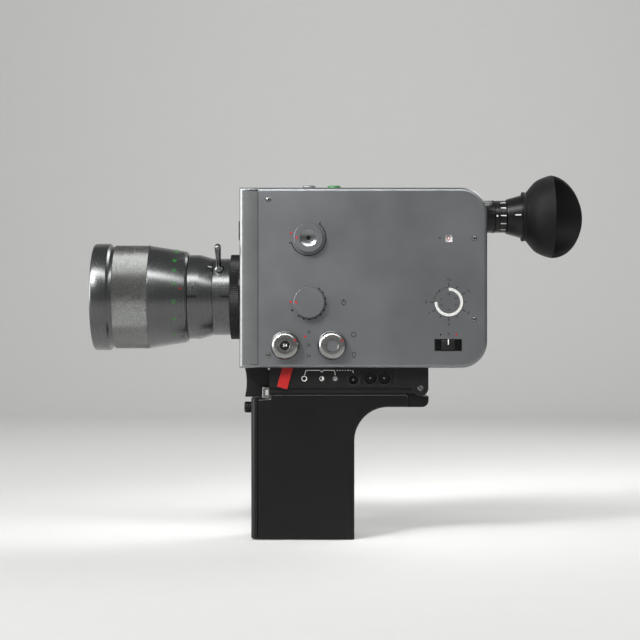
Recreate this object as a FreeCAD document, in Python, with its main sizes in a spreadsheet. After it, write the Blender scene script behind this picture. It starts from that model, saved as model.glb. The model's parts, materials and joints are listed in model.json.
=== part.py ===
import FreeCAD
import Part
import os
import re
import Sketcher
from FreeCAD import Rotation, Vector

# An 8 mm cartridge movie camera: a flat metal body with a zoom lens in front, a finder eyepiece
# behind, a film chamber behind a side door, and a pistol grip that holds the cells and folds back.
#
# Millimetres.  +Z is up, the lens points along -X and the control side faces -Y.
# The origin is the middle of the grip's lower end, on which the camera stands.

SIZES = {
    # pistol grip
    "grip_height": 88.9, "grip_depth": 62.8, "grip_half": 18.5, "grip_cover": 2.0, "grip_foot": 0.5,
    "grip_step": 3.1, "arm_reach": 76.5, "arm_depth": 8.1, "arm_inner_round": 20.6, "arm_end_round": 4.0,
    "grip_cover_end": 64.0, "grip_edge_round": 1.5, "grip_gap": 0.2,
    "cell_radius": 7.25, "cell_length": 50.5, "cell_gap": 0.6, "cell_floor": 4.0, "spring_height": 9.0,
    "spring_radius": 3.2, "contact_sheet": 1.0, "grip_wall": 1.5,
    "plate_front": 24.0, "plate_rear": 28.0, "plate_depth": 1.5, "plate_half": 14.5,
    "door_strip": 4.4, "door_strip_gap": 0.4, "door_strip_half": 18.0, "door_strip_round": 3.6,
    "strip_pin_back": 1.3, "strip_pin_rise": 1.8, "strip_pin_radius": 0.8, "strip_ear": 2.0,
    "strip_ear_inner": 12.0, "lock_knob_radius": 3.4, "lock_knob_length": 4.7, "lock_knob_drop": 6.0,
    # base rail between grip and body
    "rail_height": 15.7, "rail_start": 11.3, "rail_half": 19.5, "rail_wall": 1.6, "rail_band": 3.5,
    "rail_band_inset": 1.2, "hinge_x": 71.4, "hinge_rise": 3.3, "hinge_boss": 4.8, "hinge_cheek": 5.3,
    "hinge_pin_radius": 2.0, "hinge_gap": 0.3, "knuckle_radius": 4.5,
    "tripod_x": 45.0, "tripod_radius": 3.175, "tripod_depth": 7.0, "tripod_boss": 8.0,
    "socket_x": 30.7, "socket_rise": 8.4, "socket_bore": 2.7, "socket_rim": 0.7, "socket_depth": 6.0,
    "twin_start": 35.0, "twin_end": 55.4, "twin_low": 4.8, "twin_high": 14.0, "twin_bore": 3.9,
    "twin_pitch": 8.5, "twin_recess": 4.0, "contact_pin": 0.6,
    "lug_front": 24.6, "lug_low": 2.9, "lug_high": 3.6, "lug_half": 2.0, "lug_y": 14.6, "lug_leg": 1.6,
    # trigger and fade lever
    "trigger_reach": 4.2, "trigger_hollow": 2.0, "trigger_half": 7.0, "trigger_travel": 3.0,
    "trigger_low": 2.5, "trigger_gap": 0.3, "trigger_stem": 12.0,
    "fade_pivot_x": 11.1, "fade_pivot_rise": 73.6, "fade_tilt": 15.3, "fade_sweep": 30.0,
    "fade_arm": 89.0, "fade_half": 3.2, "fade_thick": 1.1, "fade_gap": 0.3, "fade_eye": 4.0,
    "fade_pin": 1.2,
    # camera body
    "body_length": 149.3, "body_height": 108.7, "body_half": 27.0, "front_overhang": 6.6,
    "cap_depth": 11.2, "cap_wall": 3.0, "shell_wall": 1.6, "cover_depth": 4.0, "frame_wall": 1.8,
    "bulkhead": 2.0, "rear_round": 16.0, "edge_round": 2.4, "partition_y": 9.6, "partition": 1.6,
    "chamber_front": 40.0, "light_hole": 8.0, "front_pad_rise": 83.7, "front_pad_half": 5.7,
    "front_pad_proud": 1.3, "front_pad_width": 8.0,
    "screw_head": 1.45, "screw_head_depth": 0.8, "screw_shank": 0.9, "screw_length": 7.0,
    "screw_front": 17.4, "screw_front_low": 7.6, "screw_front_drop": 7.4, "screw_rear": 8.0,
    "screw_rear_low": 29.3, "screw_rear_high": 78.0, "screw_block": 3.2, "screw_block_depth": 6.0,
    # film door
    "door_gap": 0.1, "door_axis_back": 2.2, "door_axis_in": 2.0, "door_bead": 1.8, "door_pin": 0.8,
    "door_lug": 2.6, "door_window_x": 70.0, "door_window_rise": 52.0, "door_window_length": 24.0,
    "door_window_height": 12.0, "door_window_thick": 1.2, "latch_x": 12.0, "latch_rise": 40.0,
    "latch_radius": 7.0, "latch_proud": 1.5, "latch_shaft": 2.5,
    # zoom lens
    "lens_rise": 43.1, "barrel_radius": 21.5, "barrel_bore": 18.5,
    "barrel_flange": 25.0, "barrel_flange_depth": 2.0, "fit": 0.05, "ring_gap": 0.2,
    "macro_gap": 0.7, "macro_length": 5.4, "macro_radius": 26.0,
    "zoom_length": 10.4, "zoom_radius": 23.6, "collar_taper": 8.6, "collar_straight": 6.5,
    "collar_radius": 25.9, "cone_lip": 0.7, "cone_length": 22.9, "cone_small": 27.7,
    "knurl_length": 21.1, "knurl_radius": 31.6, "focus_cavity": 28.0, "focus_seat": 20.0,
    "neck_length": 2.3, "neck_radius": 30.6, "front_ring_length": 10.8, "front_ring_radius": 32.8,
    "front_ring_round": 1.2, "filter_wall": 1.8, "filter_depth": 6.0, "lens_seat_radius": 28.4,
    "glass_thick": 7.0, "glass_curve": 90.0, "spigot_length": 3.5, "spigot_bore": 26.0,
    "lever_radius": 1.9, "lever_tip": 43.6, "lever_boss": 3.1, "lever_boss_height": 2.4,
    "variator_length": 14.0, "variator_offset": 12.0, "relay_length": 14.0,
    # finder and eyepiece
    "finder_drop": 16.1, "finder_radius": 6.0, "prism_depth": 8.0, "prism_half": 4.0, "prism_foot": 3.5,
    "eye_tube_radius": 9.9, "eye_tube_length": 6.5, "eye_core": 8.0, "eye_bore": 6.5,
    "diopter_length": 7.1, "eye_cone_length": 9.3, "eye_cone_small": 10.6, "eye_cone_large": 13.3,
    "eye_bead": 2.7, "eye_glass": 11.5, "eye_glass_thick": 2.2,
    "cup_neck": 2.2, "cup_wall": 1.8, "cup_waist": 21.1, "cup_waist_at": 5.4, "cup_mouth": 25.5,
    "cup_shoulder": 24.0, "cup_shoulder_at": 10.9, "cup_depth": 15.8, "cup_flap": 23.0,
    # knobs and dials on the control side
    "knob_gap": 0.2, "knob_shaft": 2.0, "knob_shaft_in": 5.4, "knob_chamfer": 0.5,
    "aperture_x": 41.5, "aperture_rise": 78.3, "aperture_radius": 8.7, "aperture_proud": 4.0,
    "aperture_dish": 5.2, "aperture_dish_depth": 1.3, "aperture_eye": 1.4,
    "timer_x": 41.8, "timer_rise": 39.5, "timer_radius": 9.2, "timer_proud": 4.0,
    "speed_x": 27.5, "speed_rise": 13.7, "speed_radius": 8.7, "dome_rim": 3.2, "dome_proud": 6.3,
    "dome_flat": 5.4, "slow_button": 2.9, "slow_button_travel": 1.2,
    "slow_button_depth": 4.2, "filter_x": 55.7, "filter_rise": 13.7, "filter_radius": 8.8,
    "filter_disc": 3.7, "filter_disc_depth": 1.0,
    "counter_back": 23.3, "counter_rise": 78.1, "counter_window": 4.6, "counter_radius": 9.0,
    "counter_offset": 6.4, "counter_thick": 1.0, "glass_sheet": 0.8,
    "gauge_back": 23.3, "gauge_rise": 39.7, "gauge_radius": 8.8, "gauge_thick": 1.4,
    "switch_back": 23.65, "switch_rise": 13.85, "switch_length": 16.5, "switch_height": 7.3,
    "switch_depth": 4.2, "switch_rim": 0.5, "switch_floor": 1.0, "slider_length": 8.0,
    "slider_proud": 0.8, "button_radius": 4.0, "button_proud": 3.0, "button_flange": 5.0,
    "button_flange_thick": 1.2, "button_travel": 1.5, "button_front": 41.7, "button_pitch": 15.5,
    "button_seat": 1.0,
    # drive
    "shutter_y": 6.0, "shutter_drop": 12.0, "shutter_radius": 16.0, "shutter_thick": 1.0,
    "shutter_shaft": 1.2, "shutter_gear": 7.9, "pinion_radius": 3.0, "mesh_gap": 0.15,
    "gear_width": 3.0, "gear_at": 8.0, "motor_radius": 8.0, "motor_length": 10.0,
    "motor_foot": 2.0, "gate_thick": 2.0, "gate_reach": 24.0, "gate_half": 30.0,
    "gate_window_width": 6.2, "gate_window_height": 4.6, "spindle_x": 80.5, "spindle_radius": 4.0,
    "spindle_height": 7.0, "spindle_shaft": 1.5, "pulley_radius": 9.0, "pulley_width": 3.0,
    "board_start": 95.0, "board_back": 9.3, "board_low": 10.0, "board_height": 60.0,
    "board_thick": 1.5,
    # how far a cutting body runs past what it cuts
    "cut_over": 1.0,
}

# Places that follow from the sizes, as the text of expressions.
GRIP_FRONT = "(-grip_depth / 2)"
GRIP_TOP = "(grip_height - grip_gap)"
GRIP_SHOULDER = "(grip_height - grip_step)"
GRIP_CORE = "(grip_half - grip_cover)"
STRIP_REAR = f"({GRIP_FRONT} + door_strip)"
ARM_BOTTOM = "(grip_height - grip_gap - arm_depth)"
CELL_BASE = "(cell_floor + contact_sheet + spring_height)"
CELL_ROOF = f"({CELL_BASE} + cell_length + contact_sheet)"
STRIP_PIN_X = f"({STRIP_REAR} - strip_pin_back)"
RAIL_FRONT = f"({GRIP_FRONT} + rail_start)"
RAIL_REAR = "(hinge_x + hinge_boss)"
HINGE_Z = "(grip_height + hinge_rise)"
BODY_BOTTOM = "(grip_height + rail_height)"
BODY_TOP = f"({BODY_BOTTOM} + body_height)"
BODY_FRONT = f"({GRIP_FRONT} - front_overhang)"
BODY_REAR = f"({BODY_FRONT} + body_length)"
CAP_REAR = f"({BODY_FRONT} + cap_depth)"
FRAME_HALF = "(body_half - cover_depth)"
SKIN_IN = "(body_half - shell_wall)"
ZONE_FRONT = f"({CAP_REAR} + bulkhead)"
ZONE_REAR = f"({BODY_FRONT} + chamber_front)"
PARTITION_BACK = "(partition - partition_y)"
DOOR_AXIS_X = f"({CAP_REAR} + door_axis_back)"
DOOR_AXIS_Y = "(body_half - door_axis_in)"
LENS_Z = f"({BODY_BOTTOM} + lens_rise)"
MACRO_REAR = f"({BODY_FRONT} - macro_gap)"
MACRO_FRONT = f"({MACRO_REAR} - macro_length)"
ZOOM_REAR = f"({MACRO_FRONT} - ring_gap)"
ZOOM_FRONT = f"({ZOOM_REAR} - zoom_length)"
COLLAR_REAR = f"({ZOOM_FRONT} - ring_gap)"
COLLAR_EDGE = f"({COLLAR_REAR} - collar_taper)"
COLLAR_FRONT = f"({COLLAR_EDGE} - collar_straight)"
FOCUS_REAR = f"({COLLAR_FRONT} - ring_gap)"
CONE_REAR = f"({FOCUS_REAR} - cone_lip)"
KNURL_REAR = f"({CONE_REAR} - cone_length)"
KNURL_FRONT = f"({KNURL_REAR} - knurl_length)"
NECK_FRONT = f"({KNURL_FRONT} - neck_length)"
LENS_FRONT = f"({NECK_FRONT} - front_ring_length)"
FILTER_BORE = "(front_ring_radius - filter_wall)"
GLASS_REAR = f"({LENS_FRONT} + filter_depth + glass_thick)"
FINDER_Z = f"({BODY_TOP} - finder_drop)"
EYE_STEP = f"({BODY_REAR} + eye_tube_length)"
CONE_START = f"({EYE_STEP} + diopter_length + ring_gap)"
CONE_END = f"({CONE_START} + eye_cone_length)"
BEAD_END = f"({CONE_END} + eye_bead)"
CUP_RIM = f"({BEAD_END} + cup_depth)"
KNOB_BACK = "(-body_half - knob_gap)"
KNOB_INNER = "(-body_half + knob_shaft_in)"
SHUTTER_Z = f"({LENS_Z} - shutter_drop)"
GEAR_X = f"({ZONE_FRONT} + gear_at)"
MOTOR_Z = f"({SHUTTER_Z} - shutter_gear - pinion_radius - mesh_gap)"
FADE_Z = f"({BODY_BOTTOM} + fade_pivot_rise)"
FADE_Y = "(-rail_half - fade_gap)"

document = FreeCAD.newDocument("MovieCamera")
sheet = document.addObject("Spreadsheet::Sheet", "Dims")
finished = []


def fill_sheet():
    """Write each driving size into a row of its own, with its alias."""
    for row, (alias, value) in enumerate(SIZES.items(), 1):
        sheet.set(f"A{row}", alias)
        sheet.set(f"B{row}", str(value))
        sheet.setAlias(f"B{row}", alias)
    document.recompute()


def cells(text):
    """The expression with the sheet's name put before each alias."""
    def named(word):
        """One word of the expression, with the sheet's name if it is an alias."""
        return f"Dims.{word.group()}" if word.group() in SIZES else word.group()
    return re.sub(r"[a-z_]+", named, text)


def number(text):
    """The value of an expression at the sheet's present sizes."""
    return float(sheet.evalExpression(cells(text)))


def bind(thing, name, text):
    """Tie one property of an object to an expression."""
    thing.setExpression(name, cells(text))


def place(thing, x="0", y="0", z="0"):
    """Tie the position of an object to three expressions."""
    for axis, text in zip("xyz", (x, y, z)):
        bind(thing, f"Placement.Base.{axis}", text)


def finish(thing, label):
    """Name a finished sub-part and keep it for the export."""
    thing.Label = label
    finished.append(thing)
    return thing


def box(name, x, y, z):
    """A block between two expressions along each axis."""
    block = document.addObject("Part::Box", name)
    for side, (low, high) in zip(("Length", "Width", "Height"), (x, y, z)):
        bind(block, side, f"({high}) - ({low})")
    place(block, x[0], y[0], z[0])
    return block


def rod(name, axis, radius, start, end, at):
    """A round bar along X, Y or Z; 'at' holds the two other coordinates in order."""
    bar = document.addObject("Part::Cylinder", name)
    bind(bar, "Radius", radius)
    bind(bar, "Height", f"({end}) - ({start})")
    turns = {"X": Rotation(Vector(0, 1, 0), 90), "Y": Rotation(Vector(1, 0, 0), -90), "Z": Rotation()}
    bar.Placement.Rotation = turns[axis]
    spots = {"X": (start, *at), "Y": (at[0], start, at[1]), "Z": (*at, start)}
    place(bar, *spots[axis])
    return bar


def fuse(name, *pieces):
    """One solid from several that touch or overlap."""
    joined = document.addObject("Part::MultiFuse", name)
    joined.Shapes = list(pieces)
    return joined


def cut(name, base, *tools):
    """The base without the tools."""
    carved = document.addObject("Part::Cut", name)
    carved.Base = base
    carved.Tool = tools[0] if len(tools) == 1 else group(name + "Tools", *tools)
    return carved


def group(name, *pieces):
    """Several solids kept apart in one object."""
    together = document.addObject("Part::Compound", name)
    together.Links = list(pieces)
    return together


def origin_plane(body, role):
    """One of the body's own origin planes."""
    return next(feature for feature in body.Origin.OriginFeatures if feature.Role == role)


def sketch_outline(body, role, outline):
    """A closed sketch of straight edges whose corners are held by bound distances."""
    sketch = body.newObject("Sketcher::SketchObject", f"{body.Name}Outline")
    sketch.AttachmentSupport = [(origin_plane(body, role), "")]
    sketch.MapMode = "FlatFace"
    spots = [Vector(number(across), number(up), 0) for across, up in outline]
    count = len(spots)
    for index, spot in enumerate(spots):
        sketch.addGeometry(Part.LineSegment(spot, spots[(index + 1) % count]))
    for index in range(count):
        sketch.addConstraint(Sketcher.Constraint("Coincident", index, 2, (index + 1) % count, 1))
    for index, corner in enumerate(outline):
        for kind, text in zip(("DistanceX", "DistanceY"), corner):
            held = sketch.addConstraint(Sketcher.Constraint(kind, -1, 1, index, 1, number(text)))
            bind(sketch, f"Constraints[{held}]", text)
    return sketch


def turned(name, axis, outline, at):
    """A body turned about a line along X, Y or Z through 'at'.

    The outline's corners are (along, radius) for X and (radius, along) for Y and Z.
    """
    body = document.addObject("PartDesign::Body", name)
    sketch = sketch_outline(body, "XY_Plane" if axis == "Y" else "XZ_Plane", outline)
    turning = body.newObject("PartDesign::Revolution", f"{name}Turning")
    turning.Profile = sketch
    turning.ReferenceAxis = (sketch, ["H_Axis" if axis == "X" else "V_Axis"])
    turning.Angle = 360
    spots = {"X": ("0", *at), "Y": (at[0], "0", at[1]), "Z": (*at, "0")}
    place(body, *spots[axis])
    return body


def prism(name, across, outline, start, end):
    """A body padded from an outline; 'across' is the axis it runs along."""
    roles = {"X": "YZ_Plane", "Y": "XZ_Plane", "Z": "XY_Plane"}
    body = document.addObject("PartDesign::Body", name)
    sketch = sketch_outline(body, roles[across], outline)
    pad = body.newObject("PartDesign::Pad", f"{name}Pad")
    pad.Profile = sketch
    bind(pad, "Length", f"({end}) - ({start})")
    if across == "Y":
        place(body, y=end)
    else:
        bind(body, f"Placement.Base.{across.lower()}", start)
    return body


def round_edges(body, radius, wanted):
    """Round the edges of the body that the test picks, in the body's own frame."""
    document.recompute()
    base = body.Tip
    names = [f"Edge{index}" for index, edge in enumerate(base.Shape.Edges, 1) if wanted(edge)]
    rounding = body.newObject("PartDesign::Fillet", f"{body.Name}Round")
    rounding.Base = (base, names)
    bind(rounding, "Radius", radius)
    body.Tip = rounding


def runs_along(edge, axis):
    """Whether a straight edge is parallel to an axis."""
    if edge.Curve.TypeId != "Part::GeomLine":
        return False
    return abs(abs(getattr(edge.Curve.Direction, axis.lower())) - 1) < 1e-6


def lies_at(edge, axis, value):
    """Whether a whole edge lies in the plane axis = value."""
    limits = edge.BoundBox
    name = axis.upper()
    return abs(getattr(limits, f"{name}Min") - value) < 1e-3 and abs(getattr(limits,
                                                                             f"{name}Max") - value) < 1e-3


def rectangle(low_a, high_a, low_b, high_b):
    """The four corners of a rectangular outline."""
    return [(low_a, low_b), (high_a, low_b), (high_a, high_b), (low_a, high_b)]


def side_slab(name, front, inset, start, end):
    """A slab of the body's side outline from one Y to another, its two rear corners rounded."""
    low, high, rear = f"{BODY_BOTTOM} + {inset}", f"{BODY_TOP} - {inset}", f"{BODY_REAR} - {inset}"
    slab = prism(name, "Y", rectangle(front, rear, low, high), start, end)
    back = number(rear)
    round_edges(slab, f"rear_round - {inset}",
                lambda edge: runs_along(edge, "Y") and lies_at(edge, "X", back))
    return slab


def rim_edges(slab, local_y, seam_x):
    """Round a slab's outer rim, all but its seam edge."""
    round_edges(slab, "edge_round", lambda edge: lies_at(edge, "Y", local_y) and not lies_at(edge, "X",
                                                                                             seam_x))


def knob_spot(part):
    """The X and Z of a knob or dial; those at the back keep their distance from the rear wall."""
    along = f"({BODY_REAR} - {part}_back)" if f"{part}_back" in SIZES else f"({BODY_FRONT} + {part}_x)"
    return (along, f"({BODY_BOTTOM} + {part}_rise)")


SCREWS = [
    (f"({CAP_REAR} + screw_front - cap_depth)", f"({BODY_BOTTOM} + screw_front_low)"),
    (f"({CAP_REAR} + screw_front - cap_depth)", f"({BODY_TOP} - screw_front_drop)"),
    (f"({BODY_REAR} - screw_rear)", f"({BODY_BOTTOM} + screw_rear_low)"),
    (f"({BODY_REAR} - screw_rear)", f"({BODY_BOTTOM} + screw_rear_high)"),
]
BUTTONS = [f"({BODY_FRONT} + button_front)", f"({BODY_FRONT} + button_front + button_pitch)"]


def fade_slot(name):
    """The slot in the body's floor through which the fade lever swings."""
    reach = "(fade_pivot_rise * tan(fade_tilt))"
    start = f"fade_pivot_x - {reach} - fade_half - 2 * fade_gap"
    end = f"fade_pivot_x + fade_pivot_rise * tan(fade_sweep - fade_tilt) + fade_half + 2 * fade_gap"
    return box(name, (start, end), (f"{FADE_Y} - fade_thick - fade_gap", "-rail_half"),
               (f"{BODY_BOTTOM} - cut_over", f"{BODY_BOTTOM} + frame_wall + cut_over"))


def build_frame():
    """The die-cast frame: outer band, front bulkhead, partition, screw blocks and hinge lugs."""
    band = side_slab("FrameBand", CAP_REAR, "0", f"-{FRAME_HALF}", FRAME_HALF)
    front_zone = box("FrontZone", (ZONE_FRONT, f"{ZONE_REAR} + cut_over"),
                     (f"-{FRAME_HALF} - cut_over", f"{FRAME_HALF} + cut_over"),
                     (f"{BODY_BOTTOM} + frame_wall", f"{BODY_TOP} - frame_wall"))
    works = side_slab("WorksHollow", ZONE_REAR, "frame_wall", f"-{FRAME_HALF} - cut_over", "-partition_y")
    chamber = side_slab("ChamberHollow", ZONE_REAR, "frame_wall", PARTITION_BACK,
                        f"{FRAME_HALF} + cut_over")
    light = rod("LightHole", "X", "light_hole", f"{CAP_REAR} - cut_over", f"{ZONE_FRONT} + cut_over",
                ("0", LENS_Z))
    bearing = rod("ShutterBearing", "X", "shutter_shaft + fit", f"{CAP_REAR} + bulkhead / 4",
                  f"{ZONE_FRONT} + cut_over", ("shutter_y", SHUTTER_Z))
    finder = rod("FinderHole", "X", "finder_radius", f"{BODY_REAR} - rear_round", f"{BODY_REAR} + cut_over",
                 ("0", FINDER_Z))
    buttons = [rod(f"ButtonHole{place_index}", "Z", "button_radius + fit",
                   f"{BODY_TOP} - frame_wall - cut_over",
                   f"{BODY_TOP} + cut_over", (spot, "0")) for place_index, spot in enumerate(BUTTONS)]
    spindle = rod("SpindleHole", "Y", "spindle_shaft + fit", "-partition_y - cut_over",
                  f"{PARTITION_BACK} + cut_over",
                  (f"{BODY_FRONT} + spindle_x", LENS_Z))
    hollow = cut("FrameHollowed", band, front_zone, works, chamber, light, bearing, finder, *buttons,
                 spindle,
                 fade_slot("FadeSlot"))
    blocks = []
    for index, (x, z) in enumerate(SCREWS):
        sides = (ZONE_FRONT, f"{x} + screw_block") if index < 2 else (f"{x} - screw_block",
                                                                      f"{BODY_REAR} - frame_wall")
        blocks.append(box(f"ScrewBlock{index}", sides, (f"-{SKIN_IN}", f"-{SKIN_IN} + screw_block_depth"),
                          (f"{z} - screw_block", f"{z} + screw_block")))
    lugs = []
    for index, span in enumerate([(BODY_BOTTOM, f"{BODY_BOTTOM} + door_lug"),
                                  (f"{BODY_TOP} - door_lug", BODY_TOP)]):
        lugs.append(rod(f"DoorLug{index}", "Z", "door_bead", *span, (DOOR_AXIS_X, DOOR_AXIS_Y)))
        lugs.append(box(f"DoorLugFoot{index}", (f"{DOOR_AXIS_X} - door_bead", f"{DOOR_AXIS_X} + door_bead"),
                        (FRAME_HALF, DOOR_AXIS_Y), span))
    post = rod("FadePost", "Y", "fade_eye", f"{FADE_Y} + fade_gap / 3", "-partition_y",
               ("fade_pivot_x", FADE_Z))
    pin = rod("FadePin", "Y", "fade_pin", f"{FADE_Y} - fade_thick - fade_gap", "-partition_y",
              ("fade_pivot_x", FADE_Z))
    solid = fuse("FrameSolid", hollow, *blocks, *lugs, post, pin)
    threads = [rod(f"ScrewThread{index}", "Y", "screw_shank", f"-{SKIN_IN} - cut_over",
                   "-body_half + screw_length + screw_head_depth", spot) for index,
               spot in enumerate(SCREWS)]
    pin_hole = rod("DoorPinHole", "Z", "door_pin", f"{BODY_BOTTOM} + door_lug / 2",
                   f"{BODY_TOP} - door_lug / 2",
                   (DOOR_AXIS_X, DOOR_AXIS_Y))
    finish(cut("FrameDone", solid, *threads, pin_hole), "body_frame")


def build_control_cover():
    """The side cover that carries the knobs: a shallow tray with its holes."""
    tray = side_slab("CoverBlank", CAP_REAR, "0", "-body_half", f"-{FRAME_HALF}")
    rim_edges(tray, -number("cover_depth"), number(CAP_REAR))
    hollow = side_slab("CoverHollow", f"{CAP_REAR} + shell_wall", "shell_wall", f"-{SKIN_IN}",
                       f"-{FRAME_HALF} + cut_over")
    holes = [rod(f"KnobHole{index}", "Y", "knob_shaft + fit", "-body_half - cut_over", f"-{FRAME_HALF}",
                 knob_spot(part))
             for index, part in enumerate(["aperture", "timer", "speed", "filter"])]
    x, z = knob_spot("counter")
    counter = box("CounterHole", (f"{x} - counter_window / 2", f"{x} + counter_window / 2"),
                  ("-body_half - cut_over", f"-{FRAME_HALF}"),
                  (f"{z} - counter_window / 2", f"{z} + counter_window / 2"))
    gauge = rod("GaugeHole", "Y", "gauge_radius + knob_gap", "-body_half - cut_over", f"-{FRAME_HALF}",
                knob_spot("gauge"))
    x, z = knob_spot("switch")
    switch = box("SwitchHole", (f"{x} - switch_length / 2", f"{x} + switch_length / 2"),
                 ("-body_half - cut_over", f"-{FRAME_HALF}"),
                 (f"{z} - switch_height / 2", f"{z} + switch_height / 2"))
    heads = [rod(f"ScrewSink{index}", "Y", "screw_head", "-body_half - cut_over",
                 "-body_half + screw_head_depth", spot)
             for index, spot in enumerate(SCREWS)]
    shanks = [rod(f"ScrewPass{index}", "Y", "screw_shank", "-body_half", f"-{FRAME_HALF}", spot)
              for index, spot in enumerate(SCREWS)]
    finish(cut("CoverDone", tray, hollow, *holes, counter, gauge, switch, *heads, *shanks), "control_cover")
    screws = []
    for index, (x, z) in enumerate(SCREWS):
        outline = [("0", "-body_half"), ("screw_head", "-body_half"),
                   ("screw_head", "-body_half + screw_head_depth"),
                   ("screw_shank", "-body_half + screw_head_depth"),
                   ("screw_shank", "-body_half + screw_length"),
                   ("0", "-body_half + screw_length")]
        screws.append(turned(f"CoverScrew{index}", "Y", outline, (x, z)))
    finish(group("CoverScrews", *screws), "cover_screws")


def build_front_cap():
    """The front casting: a deep tray whose face carries the lens."""
    blank = prism("CapBlank", "Y", rectangle(BODY_FRONT, CAP_REAR, BODY_BOTTOM, BODY_TOP), "-body_half",
                  "body_half")
    rear = number(CAP_REAR)
    side = number("2 * body_half")
    round_edges(blank, "edge_round", lambda edge: not lies_at(edge, "X", rear) and (
        lies_at(edge, "Y", 0) or lies_at(edge, "Y", -side)))
    hollow = box("CapHollow", (f"{BODY_FRONT} + cap_wall", f"{CAP_REAR} + cut_over"),
                 (f"-{SKIN_IN}", SKIN_IN),
                 (f"{BODY_BOTTOM} + shell_wall", f"{BODY_TOP} - shell_wall"))
    bore = rod("LensBore", "X", "barrel_radius", f"{BODY_FRONT} - cut_over",
               f"{BODY_FRONT} + cap_wall + cut_over", ("0", LENS_Z))
    finish(cut("CapDone", blank, hollow, bore), "front_cap")
    z = f"{BODY_BOTTOM} + front_pad_rise"
    pad = box("FrontPad", (f"{BODY_FRONT} - front_pad_proud", BODY_FRONT),
              ("-front_pad_width", "front_pad_width"),
              (f"{z} - front_pad_half", f"{z} + front_pad_half"))
    finish(pad, "front_light_window")


def build_lens():
    """The zoom lens: barrel and its rings, the front ring with its glass, and the inner cells."""
    flange = f"{BODY_FRONT} + cap_wall"
    back = f"{flange} + barrel_flange_depth"
    front = f"{KNURL_FRONT} + spigot_length + ring_gap"
    barrel = [(front, "barrel_bore"), (front, "barrel_radius"), (COLLAR_FRONT, "barrel_radius"),
              (COLLAR_FRONT, "collar_radius"), (COLLAR_EDGE, "collar_radius"), (COLLAR_REAR, "zoom_radius"),
              (COLLAR_REAR, "barrel_radius"), (flange, "barrel_radius"), (flange, "barrel_flange"),
              (back, "barrel_flange"), (back, "barrel_bore")]
    finish(turned("LensBarrel", "X", barrel, ("0", LENS_Z)), "lens_barrel")
    seat = f"{KNURL_FRONT} + focus_seat"
    focus = [(KNURL_FRONT, "focus_cavity"), (KNURL_FRONT, "knurl_radius"), (KNURL_REAR, "knurl_radius"),
             (CONE_REAR, "cone_small"), (FOCUS_REAR, "cone_small"), (FOCUS_REAR, "barrel_radius + fit"),
             (seat, "barrel_radius + fit"), (seat, "focus_cavity")]
    finish(turned("FocusRing", "X", focus, ("0", LENS_Z)), "focus_ring")
    spigot = f"{KNURL_FRONT} + spigot_length"
    seat = f"{LENS_FRONT} + filter_depth"
    ring = [(LENS_FRONT, FILTER_BORE), (LENS_FRONT, "front_ring_radius - front_ring_round"),
            (f"{LENS_FRONT} + front_ring_round", "front_ring_radius"), (NECK_FRONT, "front_ring_radius"),
            (NECK_FRONT, "neck_radius"), (KNURL_FRONT, "neck_radius"), (KNURL_FRONT, "focus_cavity"),
            (spigot, "focus_cavity"), (spigot, "spigot_bore"), (GLASS_REAR, "spigot_bore"),
            (GLASS_REAR, "lens_seat_radius"), (seat, "lens_seat_radius"), (seat, FILTER_BORE)]
    finish(turned("FrontRing", "X", ring, ("0", LENS_Z)), "front_ring")
    disc = rod("GlassDisc", "X", "lens_seat_radius", seat, GLASS_REAR, ("0", LENS_Z))
    ball = document.addObject("Part::Sphere", "GlassBall")
    bind(ball, "Radius", "glass_curve")
    place(ball, f"{seat} + glass_curve", "0", LENS_Z)
    glass = document.addObject("Part::Common", "FrontGlass")
    glass.Base = disc
    glass.Tool = ball
    finish(glass, "front_lens")
    rings = {"zoom_ring": (ZOOM_FRONT, ZOOM_REAR, "zoom_radius"), "macro_ring": (MACRO_FRONT, MACRO_REAR,
                                                                                   "macro_radius")}
    for label, (start, end, radius) in rings.items():
        outline = [(start, "barrel_radius + fit"), (start, radius), (end, radius),
                   (end, "barrel_radius + fit")]
        finish(turned(f"{label}_body", "X", outline, ("0", LENS_Z)), label)
    build_zoom_lever()
    variator = f"{COLLAR_FRONT} - variator_offset"
    cell = [(variator, "0"), (variator, "barrel_bore - fit"),
            (f"{variator} + variator_length", "barrel_bore - fit"),
            (f"{variator} + variator_length", "0")]
    finish(turned("Variator", "X", cell, ("0", LENS_Z)), "variator_cell")
    cell = [(f"{back} - relay_length", "0"), (f"{back} - relay_length", "barrel_bore"),
            (back, "barrel_bore"),
            (back, "0")]
    finish(turned("Relay", "X", cell, ("0", LENS_Z)), "relay_cell")


def build_zoom_lever():
    """The short lever that stands on the zoom ring, leaning to the control side."""
    middle = f"({ZOOM_FRONT} + 2 * lever_radius)"
    lean = Rotation(Vector(1, 0, 0), 45)
    pieces = []
    for name, radius, tip in (("LeverRod", "lever_radius", "lever_tip"),
                              ("LeverBoss", "lever_boss", "zoom_radius + lever_boss_height")):
        piece = document.addObject("Part::Cylinder", name)
        bind(piece, "Radius", radius)
        bind(piece, "Height", tip)
        piece.Placement.Rotation = lean
        place(piece, middle, "0", LENS_Z)
        pieces.append(piece)
    ring = rod("LeverSeat", "X", "zoom_radius", f"{ZOOM_FRONT} - 2 * lever_boss",
               f"{ZOOM_REAR} + 2 * lever_boss",
               ("0", LENS_Z))
    finish(cut("ZoomLever", fuse("LeverRaw", *pieces), ring), "zoom_lever")


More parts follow.
